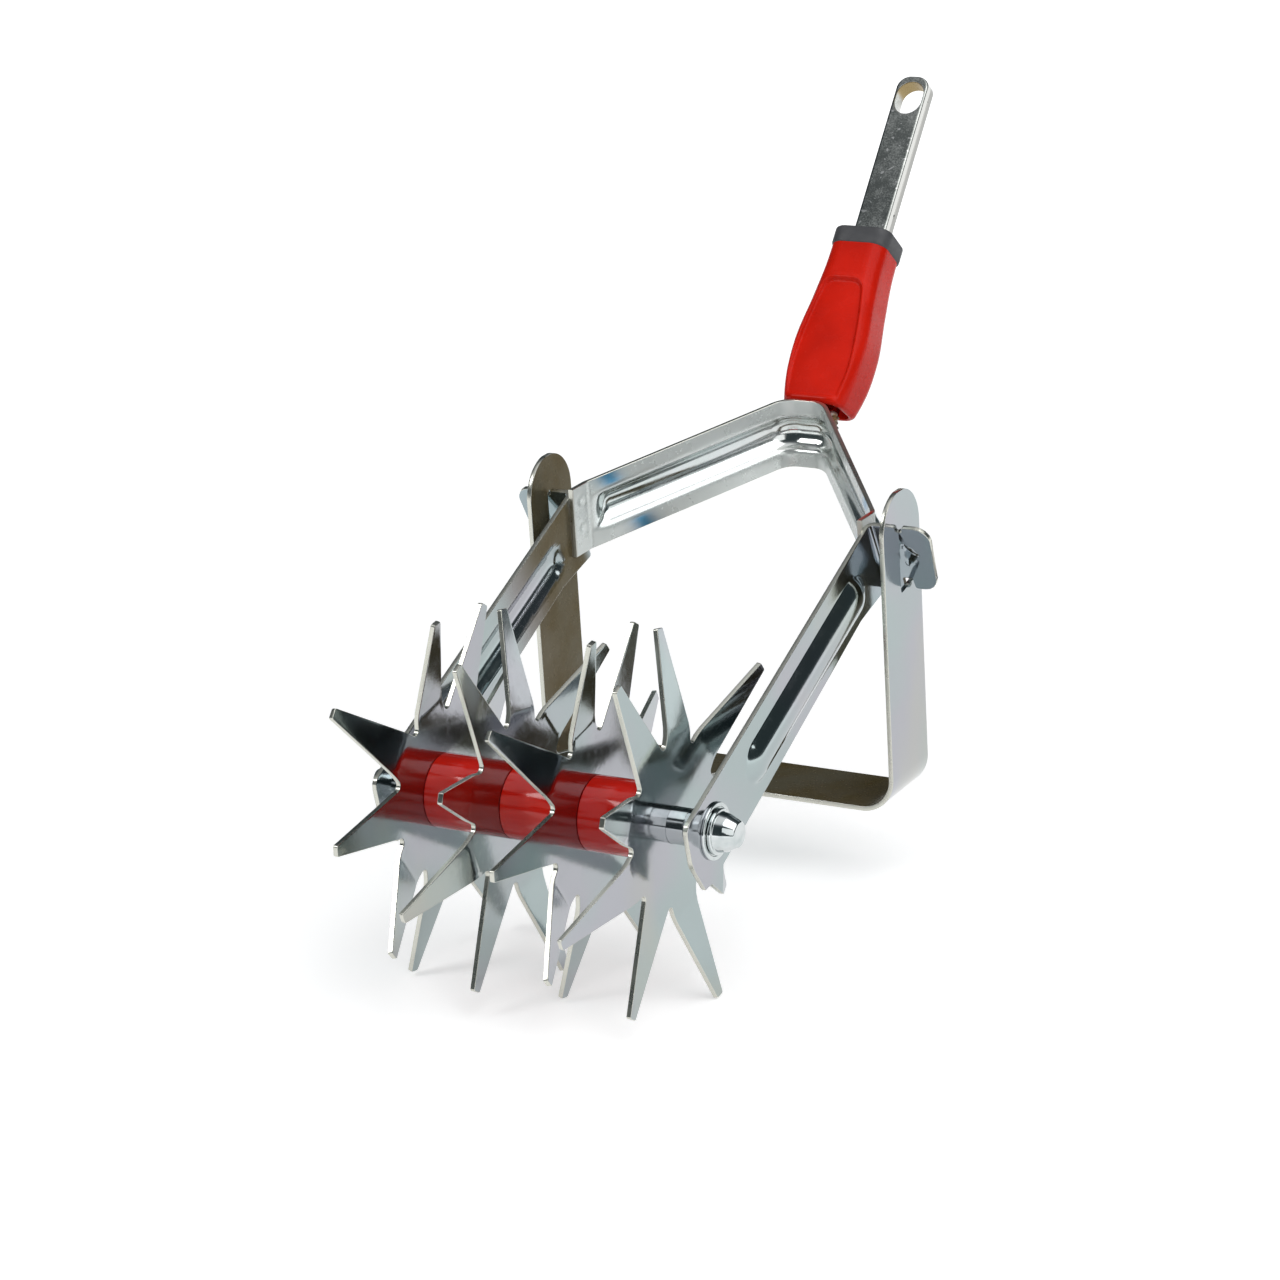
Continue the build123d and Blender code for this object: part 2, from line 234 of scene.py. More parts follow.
def pressed(distance: Array, half: float, depth: float, lip: float) -> Array:
    """Depth of a pressed bead: a round trough by distance from its middle line, with soft lips.

    The trough is a circle through its two lips and its floor, carried on straight beyond the
    lips, and the soft lip is half of the depth plus the root of its square and the lip's square.

    Args:
        distance: Distance from the bead's middle line.
        half: Half of the bead's width.
        depth: Depth at the middle.
        lip: Softness of the lips.

    Returns:
        Depth at each distance, from 0 on the flat sheet.
    """
    radius = (half**2 + depth**2) / (2 * depth)
    round_part = np.sqrt(np.maximum(radius**2 - np.minimum(distance, half) ** 2, 0.0))
    slope = half / (radius - depth)
    bare = round_part - (radius - depth) - np.maximum(distance - half, 0.0) * slope
    return (bare + np.sqrt(bare**2 + lip**2)) / 2


def rim_lift(half: float, edge: float) -> Array:
    """Heights round a cut edge: its straight part by sign, plus the sine of the turn."""
    return (half - edge) * np.sign(RIM_TURN) + edge * np.sin(RIM_TURN)


def strip_columns(half: float, edge: float, count: int) -> Array:
    """Places across a strip from -half to half, the outermost one edge radius from the next."""
    return np.concatenate([[-half], np.linspace(-half + edge, half - edge, count), [half]])


def grid_faces(rows: int, columns: int, wrap_rows: bool) -> Array:
    """Four-cornered faces of a grid of closed loops, numbered row by row.

    Args:
        rows: Number of loops.
        columns: Points in a loop.
        wrap_rows: True where the last loop joins the first.

    Returns:
        Array (faces, 4) of point numbers.
    """
    starts = np.arange(rows if wrap_rows else rows - 1)
    first, second = np.meshgrid(starts, np.arange(columns), indexing="ij")
    below, beside = (first + 1) % rows, (second + 1) % columns
    corners = [(first, second), (first, beside), (below, beside), (below, second)]
    return np.stack([row * columns + column for row, column in corners], axis=-1).reshape(-1, 4)


def points_of(mesh: bpy.types.Mesh) -> Array:
    """Read the places of a mesh's points.

    Args:
        mesh: The mesh.

    Returns:
        Array (points, 3) in metres.
    """
    points = np.empty(3 * len(mesh.vertices), dtype=np.float32)
    mesh.vertices.foreach_get("co", points)
    return points.reshape(-1, 3).astype(float)


def add_mark(mesh: bpy.types.Mesh, label: str, values: Array) -> None:
    """Store one value per point of a mesh under a name."""
    layer = mesh.attributes.new(label, "FLOAT", "POINT")
    layer.data.foreach_set("value", np.ascontiguousarray(values, dtype=np.float32).ravel())


def add_object(name: str, data: bpy.types.ID) -> Piece:
    """Link a new object into the scene.

    Args:
        name: Name of the object.
        data: Its mesh, lamp or camera.

    Returns:
        The new object, at the origin.
    """
    piece = bpy.data.objects.new(name, data)
    bpy.context.collection.objects.link(piece)
    return piece


def make_piece(
    name: str,
    loops: Array,
    wrap_rows: bool = False,
    marks: dict[str, Array] | None = None,
    crease: float = 40.0,
) -> Piece:
    """Closed mesh from a grid of closed loops, capped at both ends unless the rows wrap round.

    Args:
        name: Name of the piece.
        loops: Array (rows, columns, 3) in millimetres.
        wrap_rows: True where the last loop joins the first.
        marks: Named values per point, each of shape (rows, columns).
        crease: Edges that turn by more degrees than this stay sharp.

    Returns:
        The new object, at the origin.
    """
    rows, columns = loops.shape[:2]
    faces = grid_faces(rows, columns, wrap_rows).tolist()
    if not wrap_rows:
        faces.append(list(range(columns))[::-1])
        faces.append(list(range((rows - 1) * columns, rows * columns)))
    mesh = bpy.data.meshes.new(name)
    mesh.from_pydata((loops.reshape(-1, 3) * MILLIMETRE).tolist(), [], faces)
    for label, values in (marks or {}).items():
        add_mark(mesh, label, values)
    turn_outwards(mesh)
    mesh.shade_smooth()
    mesh.set_sharp_from_angle(angle=np.radians(crease))
    return add_object(name, mesh)


def turn_outwards(mesh: bpy.types.Mesh) -> None:
    """Flip a closed mesh whose signed volume, the sum of its triple products, is negative.

    Args:
        mesh: The mesh.
    """
    mesh.calc_loop_triangles()
    corners = np.empty(len(mesh.loop_triangles) * 3, dtype=np.int32)
    mesh.loop_triangles.foreach_get("vertices", corners)
    a, b, c = points_of(mesh)[corners.reshape(-1, 3)].transpose(1, 0, 2)
    if np.einsum("ij,ij->", a, np.cross(b, c)) < 0:
        mesh.flip_normals()
    mesh.update()


def cut_out(piece: Piece, cutter: Piece, crease: float = 40.0) -> None:
    """Cut one closed mesh out of another for good, and drop the cutter.

    Args:
        piece: Object that keeps the rest.
        cutter: Object whose volume is taken away.
        crease: Edges that turn by more degrees than this stay sharp.
    """
    tool = piece.modifiers.new("cut", "BOOLEAN")
    tool.operation = "DIFFERENCE"
    tool.solver = "EXACT"
    tool.object = cutter
    graph = bpy.context.evaluated_depsgraph_get()
    mesh = bpy.data.meshes.new_from_object(piece.evaluated_get(graph))
    piece.modifiers.remove(tool)
    piece.data = mesh
    mesh.set_sharp_from_angle(angle=np.radians(crease))
    bpy.data.objects.remove(cutter)


def even_shading(piece: Piece) -> None:
    """Let the large faces set the shading of the rounded edges beside them.

    Args:
        piece: Object that gets the modifier.
    """
    weights = piece.modifiers.new("even_shading", "WEIGHTED_NORMAL")
    weights.mode = "FACE_AREA"
    weights.weight = 60
    weights.keep_sharp = True


def prism(
    name: str, outlines: list[Array], heights: tuple[float, ...], axes: Array, origin: Array
) -> Piece:
    """Closed stack of outlines: each lies in the first two axes, at its height along the third.

    Args:
        name: Name of the object.
        outlines: Arrays (n, 2) of the same length.
        heights: Height of each outline.
        axes: Array of three unit vectors.
        origin: Point that the distances count from.

    Returns:
        The new object.
    """
    lifted = np.array(heights)[:, None, None] * axes[2]
    return make_piece(name, origin + np.stack(outlines) @ axes[:2] + lifted)


def sheet_piece(
    name: str,
    middle: Array,
    thickness: float,
    edge: float,
    films: tuple[Array, Array],
    bluing: Array,
) -> Piece:
    """Sheet of even thickness about a middle surface, with rounded cut edges.

    Each row becomes a closed loop: the middle moved along its normal by half the thickness, a
    quarter-round and its mirror image at the last column, the middle moved the other way, and the
    same rounding at the first column. The normal is the cross product of the two grid directions.

    Args:
        name: Name of the piece.
        middle: Array (rows, columns, 3); the outermost columns lie one edge radius from the next.
        thickness: Thickness of the sheet.
        edge: Radius of the rounded edges.
        films: Share of the warm tint (on legs and stirrup a film and painted shade) on the face
            along the normal and on the other, per row and column.
        bluing: Share of blue heat stain on both faces.

    Returns:
        The new object.
    """
    along, across = np.gradient(middle, axis=0), np.gradient(middle, axis=1)
    normal = unit(np.cross(along, across))
    half = thickness / 2
    lift = rim_lift(half, edge)[:, None]
    inset = (edge * (1.0 - np.cos(RIM_TURN)))[:, None]
    out_last = unit(np.cross(normal[:, -1], along[:, -1]))[:, None]
    out_first = -unit(np.cross(normal[:, 0], along[:, 0]))[:, None]
    last = middle[:, -1:] - out_last * inset + normal[:, -1:] * lift
    first = middle[:, :1] - out_first * inset - normal[:, :1] * lift
    front = middle[:, 1:-1] + normal[:, 1:-1] * half
    rear = (middle[:, 1:-1] - normal[:, 1:-1] * half)[:, ::-1]
    loops = np.concatenate([front, last, rear, first], axis=1)
    face, bare = np.zeros(front.shape[:2]), np.zeros((len(middle), len(RIM_TURN)))
    rim = np.concatenate([face, bare + 1.0, face, bare + 1.0], axis=1)
    rim[[0, -1]] = 1.0
    pairs = {"film": films, "bluing": (bluing, bluing)}
    marks = {
        label: np.concatenate([ahead[:, 1:-1], bare, behind[:, -2:0:-1], bare], axis=1)
        for label, (ahead, behind) in pairs.items()
    }
    piece = make_piece(name, loops, marks={"rim": rim, **marks})
    even_shading(piece)
    return piece


def lathe(
    name: str,
    corners: list[Pair],
    radii: list[float],
    count: int = 6,
    sides: int = 96,
    way: int = 1,
) -> Piece:
    """Surface of revolution about the axle: each point of an outline is carried round on a circle.

    Args:
        name: Name of the piece.
        corners: Places along the axle and radii, as a closed outline.
        radii: Rounding of each corner.
        count: Points on each rounding.
        sides: Points round the circle.
        way: 1, or -1 to mirror the outline along the axle.

    Returns:
        The new object.
    """
    profile = rounded_outline(np.array(corners), radii, count) * [way, 1]
    ring = circle(round_angles(sides), BACK, UP)
    loops = AXLE + profile[:, None, :1] * ACROSS + profile[:, None, 1:] * ring
    return make_piece(name, loops, wrap_rows=True, crease=50.0)


@dataclass(frozen=True)
class RoundedLoop:
    """Rounded rectangle as shares, so that one rule serves sections of any size.

    A point is its corner share times the straight half-length plus its direction times the radius.
    """

    shares: Array
    turns: Array

    @classmethod
    def of(cls, corner: int, wide: Array, deep: Array) -> "RoundedLoop":
        """Lay out the four corners and four straights.

        Args:
            corner: Points on each corner.
            wide: Shares between -1 and 1 along the front and back straights, falling.
            deep: Shares along the side straights, falling.

        Returns:
            The loop.
        """
        shares, turns = [], []
        for k, signs in enumerate(np.array([(1.0, 1.0), (-1.0, 1.0), (-1.0, -1.0), (1.0, -1.0)])):
            angle = np.pi / 2 * (k + np.linspace(0.0, 1.0, corner))
            turn = circle(angle, *PLANE)
            run = deep if k % 2 else wide
            straight_part = np.tile(signs, (len(run), 1))
            straight_part[:, k % 2] *= run
            shares += [np.tile(signs, (corner, 1)), straight_part]
            turns += [turn, np.tile(turn[-1], (len(run), 1))]
        return cls(np.concatenate(shares), np.concatenate(turns))

    def points(self, half: Array, depth: Array, radius: Array) -> tuple[Array, Array]:
        """Place the loop for each section.

        Args:
            half: Half-widths, one per section.
            depth: Half-depths, one per section.
            radius: Corner radii, one per section.

        Returns:
            Distances across and in depth, each of shape (sections, points).
        """
        across = (half - radius)[:, None] * self.shares[:, 0] + radius[:, None] * self.turns[:, 0]
        inward = (depth - radius)[:, None] * self.shares[:, 1] + radius[:, None] * self.turns[:, 1]
        return across, inward


@dataclass(frozen=True)
class Clouds:
    """Cloudy pattern: clouds per metre, octaves, the range that counts and a scale per axis."""

    scale: float
    detail: float
    span: Pair = (0.0, 1.0)
    stretch: Triple = (1.0, 1.0, 1.0)


class Recipe:
    """Lays out the nodes of one material on object coordinates."""

    def __init__(self, name: str) -> None:
        """Start a material with a principled shader.

        Args:
            name: Name of the material.
        """
        self.material = bpy.data.materials.new(name)
        self.material.use_nodes = True
        self.tree = self.material.node_tree
        self.place = self.node("TexCoord").outputs["Object"]

    def feed(self, socket: Socket, value: object) -> None:
        """Link a socket to another one, or set it to a plain value or colour.

        Args:
            socket: Socket of a node's input.
            value: Another node's output, a number, a vector or a colour of three shares.
        """
        if isinstance(value, Socket):
            self.tree.links.new(value, socket)
        else:
            socket.default_value = (*value, 1.0) if socket.type == "RGBA" else value

    def fill(self, node: bpy.types.Node, inputs: dict[str, object]) -> None:
        """Feed a node's sockets, named with underscores for spaces."""
        for label, value in inputs.items():
            self.feed(node.inputs[label.replace("_", " ")], value)

    def node(self, kind: str, **inputs: object) -> bpy.types.Node:
        """Add a shader node and feed its sockets.

        Args:
            kind: Last part of the node type's name.
            inputs: Values by socket, named with underscores for spaces.

        Returns:
            The new node.
        """
        node = self.tree.nodes.new(f"ShaderNode{kind}")
        self.fill(node, inputs)
        return node

    def noise(self, clouds: Clouds) -> Socket:
        """Lay a cloudy pattern on object coordinates.

        Args:
            clouds: The pattern.

        Returns:
            Its value, about 0.5 on average.
        """
        place = self.node("Mapping", Scale=clouds.stretch, Vector=self.place).outputs["Vector"]
        pattern = self.node("TexNoise", Scale=clouds.scale, Detail=clouds.detail, Vector=place)
        return pattern.outputs["Fac"]

    def mark(self, label: str) -> Socket:
        """Read a named attribute of the mesh.

        Args:
            label: Name of the attribute.

        Returns:
            Its value.
        """
        reader = self.node("Attribute")
        reader.attribute_name = label
        return reader.outputs["Fac"]

    def spread(self, value: Socket, source: Pair, target: Pair) -> Socket:
        """Map a range of values to another range, held to its ends."""
        ends = zip(("From_Min", "From_Max", "To_Min", "To_Max"), source + target)
        return self.node("MapRange", Value=value, **dict(ends)).outputs["Result"]

    def share(self, clouds: Clouds, target: Pair = (0.0, 1.0)) -> Socket:
        """Cloudy pattern whose counting range is mapped to another one."""
        return self.spread(self.noise(clouds), clouds.span, target)

    def sums(self, kind: str, first: object, second: object) -> Socket:
        """Combine two values.

        Args:
            kind: Operation of the math node.
            first: First value.
            second: Second value.

        Returns:
            The result.
        """
        node = self.node("Math")
        node.operation = kind
        for socket, value in zip(node.inputs, (first, second)):
            self.feed(socket, value)
        return node.outputs[0]

    def blend(self, share: Socket, first: object, second: object) -> Socket:
        """Mix two colours.

        Args:
            share: Share of the second colour.
            first: First colour.
            second: Second colour.

        Returns:
            The mixed colour.
        """
        node = self.node("Mix")
        node.data_type = "RGBA"
        for number, value in ((0, share), (6, first), (7, second)):
            self.feed(node.inputs[number], value)
        return node.outputs[2]

    def relief(self, height: Socket, depth: float, below: Socket | None = None) -> Socket:
        """Bump the surface.

        Args:
            height: Pattern of the bumps.
            depth: Their depth in metres.
            below: Coarser relief that they lie on.

        Returns:
            The bumped normal.
        """
        node = self.node("Bump", Strength=1.0, Distance=depth, Height=height)
        if below is not None:
            self.feed(node.inputs["Normal"], below)
        return node.outputs["Normal"]

    def dress(self, **sockets: object) -> Material:
        """Feed the shader's sockets, named with underscores for spaces, and give the material."""
        self.fill(self.tree.nodes["Principled BSDF"], sockets)
        return self.material


@dataclass(frozen=True)
class ZincFinish:
    """Bright zinc with a faint coloured film, cut edges painted lighter (bare steel and a painted
    highlight) and a warm tint where marked (on the zinc sheet partly a film, partly painted shade).
    """

    name: str = "zinc_sheet"
    steel: Triple = (0.37, 0.43, 0.43)
    lilac: Triple = (0.41, 0.405, 0.44)
    straw: Triple = (0.45, 0.45, 0.39)
    # edge: cut edges painted lighter, as bare steel and as a painted highlight
    edge: Triple = (0.60, 0.60, 0.54)
    # warm: brown tint, partly a film and partly painted shade on the inner faces between the parts
    warm: Triple = (0.12, 0.09, 0.037)
    blue: Triple = (0.10, 0.29, 0.46)
    polish: Pair = (0.09, 0.14)
    dull: float = 0.16
    warm_metal: float = 0.3
    blue_loss: float = 0.4
    specular: float = 0.05
    veil: Clouds = Clouds(17.0, 2.0, (0.42, 0.62))
    patches: Clouds = Clouds(11.0, 3.0, (0.52, 0.68), (1.0, 1.3, 0.8))
    thin_film: Clouds = Clouds(60.0, 4.0, (0.3, 0.7))
    specks: Clouds = Clouds(420.0, 3.0, (0.55, 0.75))
    smears: Clouds = Clouds(75.0, 4.0, (0.35, 0.7))
    waves: Clouds = Clouds(26.0, 1.0)
    wave_depth: float = 0.00018
    speck_depth: float = 0.000012

    def make(self) -> Material:
        """Build the material.

        Returns:
            The material.
        """
        r = Recipe(self.name)
        colour = r.blend(r.share(self.veil, (0.0, 0.85)), self.steel, self.lilac)
        colour = r.blend(r.share(self.patches, (0.0, 0.7)), colour, self.straw)
        # Warm tint where marked: partly a brown film, partly painted shade; it also dulls the skin
        # and lowers the metal.
        warm = r.sums("MULTIPLY", r.mark("film"), r.share(self.thin_film, (0.86, 1.0)))
        # The rim tint paints the cut edges lighter: bare steel and a painted highlight.
        bluing, rim = r.mark("bluing"), r.mark("rim")
        for share, tint in ((bluing, self.blue), (warm, self.warm), (rim, self.edge)):
            colour = r.blend(share, colour, tint)
        specks = r.noise(self.specks)
        pits = r.spread(specks, self.specks.span, (0.0, 0.05))
        rough = r.sums("ADD", r.share(self.smears, self.polish), pits)
        for share in (rim, warm):
            rough = r.sums("ADD", rough, r.sums("MULTIPLY", share, self.dull))
        grain = r.relief(specks, self.speck_depth, r.relief(r.noise(self.waves), self.wave_depth))
        metal = r.spread(warm, (0.0, 1.0), (1.0, self.warm_metal))
        metal = r.sums("SUBTRACT", metal, r.sums("MULTIPLY", bluing, self.blue_loss))
        return r.dress(
            Base_Color=colour,
            Metallic=metal,
            Roughness=rough,
            Normal=grain,
            Specular_IOR_Level=self.specular,
        )


@dataclass(frozen=True)
class TangFinish:
    """Plated bar steel with a mottled, pitted skin on its faces, painted shade on the rear of its
    sides and a brown wall in its hole.
    """

    name: str = "tang_steel"
    side: Triple = (0.58, 0.58, 0.555)
    # shade: painted shade for the rear half of the sides and the seam's notch
    shade: Triple = (0.31, 0.31, 0.295)
    light: Triple = (0.56, 0.58, 0.55)
    dark: Triple = (0.25, 0.27, 0.255)
    speck: Triple = (0.9, 0.9, 0.88)
    cut: Triple = (0.33, 0.25, 0.12)
    mottle: Clouds = Clouds(140.0, 6.0)
    fine: Clouds = Clouds(1500.0, 3.0)
    fine_share: float = 1.2
    dark_span: Pair = (0.86, 1.24)
    dots: Clouds = Clouds(620.0, 0.0, (0.74, 0.78))
    polish: float = 0.07
    light_rough: float = 0.13
    wall_rough: float = 0.2
    mottle_depth: float = 0.000009
    fine_depth: float = 0.000003

    def make(self) -> Material:
        """Build the material.

        Returns:
            The material.
        """
        r = Recipe(self.name)
        mottle, fine = r.noise(self.mottle), r.noise(self.fine)
        both = r.sums("ADD", mottle, r.sums("MULTIPLY", fine, self.fine_share))
        share = r.spread(both, self.dark_span, (0.0, 1.0))
        face, wall = r.mark("face"), r.mark("wall")
        # Sides as lit and shaded copies: the front half in the side colour, the rear half and the
        # seam's notch in painted shade.
        side = r.blend(r.mark("rear"), self.side, self.shade)
        colour = r.blend(face, side, r.blend(share, self.light, self.dark))
        colour = r.blend(r.sums("MULTIPLY", r.share(self.dots), face), colour, self.speck)
        colour = r.blend(wall, colour, self.cut)
        matt = r.spread(share, (0.0, 1.0), (self.light_rough, 0.0))
        rough = r.sums("ADD", r.sums("MULTIPLY", matt, face), self.polish)
        rough = r.sums("ADD", rough, r.sums("MULTIPLY", wall, self.wall_rough))
        skin = r.relief(fine, self.fine_depth, r.relief(mottle, self.mottle_depth))
        return r.dress(Base_Color=colour, Metallic=1.0, Roughness=rough, Normal=skin)


@dataclass(frozen=True)
class CloudedFinish:
    """Two colours mixed by clouds, with cloudy gloss and a fine relief, each depth in metres."""

    name: str
    first: Triple
    second: Triple
    patches: Clouds
    gloss: Clouds
    rough: Pair
    skin: tuple[tuple[Clouds, float], ...]
    metallic: float = 0.0
    specular: float = 0.5
    coat: float = 0.0
    coat_rough: float = 0.03

    def make(self) -> Material:
        """Build the material.

        Returns:
            The material.
        """
        r = Recipe(self.name)
        colour = r.blend(r.share(self.patches), self.first, self.second)
        skin = None
        for clouds, depth in self.skin:
            skin = r.relief(r.noise(clouds), depth, skin)
        return r.dress(
            Base_Color=colour,
            Metallic=self.metallic,
            Roughness=r.share(self.gloss, self.rough),
            Normal=skin,
            Specular_IOR_Level=self.specular,
            Coat_Weight=self.coat,
            Coat_Roughness=self.coat_rough,
        )


STRAP_ZINC = ZincFinish(
    name="zinc_strap",
    steel=(0.64, 0.69, 0.68),
    lilac=(0.62, 0.62, 0.65),
    straw=(0.68, 0.68, 0.63),
    warm=(0.74, 0.78, 0.76),
    polish=(0.10, 0.18),
)
BRIGHT_STEEL = CloudedFinish(
    name="bright_steel",
    first=(0.62, 0.65, 0.65),
    second=(0.48, 0.53, 0.53),
    patches=Clouds(140.0, 3.0, (0.45, 0.7)),
    gloss=Clouds(300.0, 3.0, (0.3, 0.75)),
    rough=(0.04, 0.10),
    skin=((Clouds(900.0, 2.0, stretch=(1.0, 0.03, 0.03)), 0.000008),),
    metallic=1.0,
)
GLOSS_RED = CloudedFinish(
    name="gloss_red",
    first=(0.82, 0.017, 0.006),
    second=(0.70, 0.011, 0.005),
    patches=Clouds(45.0, 3.0, (0.35, 0.65)),
    gloss=Clouds(160.0, 4.0, (0.3, 0.7)),
    rough=(0.14, 0.22),
    skin=((Clouds(240.0, 2.0), 0.000015),),
    specular=0.3,
    coat=0.4,
    coat_rough=0.05,
)
GRIP_RED = CloudedFinish(
    name="grip_red",
    first=(0.76, 0.017, 0.006),
    second=(0.60, 0.012, 0.004),
    patches=Clouds(38.0, 4.0, (0.35, 0.65)),
    gloss=Clouds(210.0, 4.0, (0.3, 0.7)),
    rough=(0.22, 0.30),
    skin=((Clouds(95.0, 3.0), 0.000005), (Clouds(1700.0, 2.0), 0.000004)),
    specular=0.11,
)
COLLAR_GREY = CloudedFinish(
    name="collar_grey",
    first=(0.060, 0.061, 0.066),
    second=(0.082, 0.083, 0.088),
    patches=Clouds(130.0, 4.0, (0.4, 0.7)),
    gloss=Clouds(300.0, 3.0, (0.3, 0.7)),
    rough=(0.45, 0.6),
    skin=((Clouds(1900.0, 2.0), 0.00002),),
)
WELD_METAL = CloudedFinish(
    name="weld_metal",
    first=(0.42, 0.41, 0.38),
    second=(0.17, 0.095, 0.045),
    patches=Clouds(190.0, 5.0, (0.4, 0.6)),
    gloss=Clouds(190.0, 5.0, (0.4, 0.6)),
    rough=(0.28, 0.6),
    skin=((Clouds(700.0, 4.0), 0.0001),),
    metallic=0.85,
)


class Palette:
    """The finishes, made once and handed to pieces by slot."""

    def __init__(self) -> None:
        """Make every finish."""
        self.by_slot = {
            Slot.ZINC: ZincFinish().make(),
            Slot.BRIGHT: BRIGHT_STEEL.make(),
            Slot.TANG: TangFinish().make(),
            Slot.TUBE: GLOSS_RED.make(),
            Slot.GRIP: GRIP_RED.make(),
            Slot.COLLAR: COLLAR_GREY.make(),
        }
        self.weld, self.strap = WELD_METAL.make(), STRAP_ZINC.make()

    @staticmethod
    def paint(piece: Piece, finish: Material) -> None:
        """Let one finish be all that a piece carries."""
        piece.data.materials.clear()
        piece.data.materials.append(finish)

    def settle(
        self, piece: Piece, body: Body, slot: Slot, *nodes: str, finish: Material | None = None
    ) -> None:
        """Dress a piece, let it ride on its body and stand for its CAD nodes.

        Args:
            piece: The finished object.
            body: Body that it moves with.
            slot: Record slot of its finish.
            nodes: CAD nodes that it replaces.
            finish: Finish in place of the slot's own.
        """
        self.paint(piece, finish or self.by_slot[slot])
        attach(piece, body.value)
        if nodes:
            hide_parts(*nodes)
        log.info("%s rides on %s", piece.name, body.value)

    def repaint(self, node: str, slot: Slot) -> None:
        """Give a CAD node that stays in view its slot's finish."""
        self.paint(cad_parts[node], self.by_slot[slot])
        log.info("%s keeps its CAD shape", node)


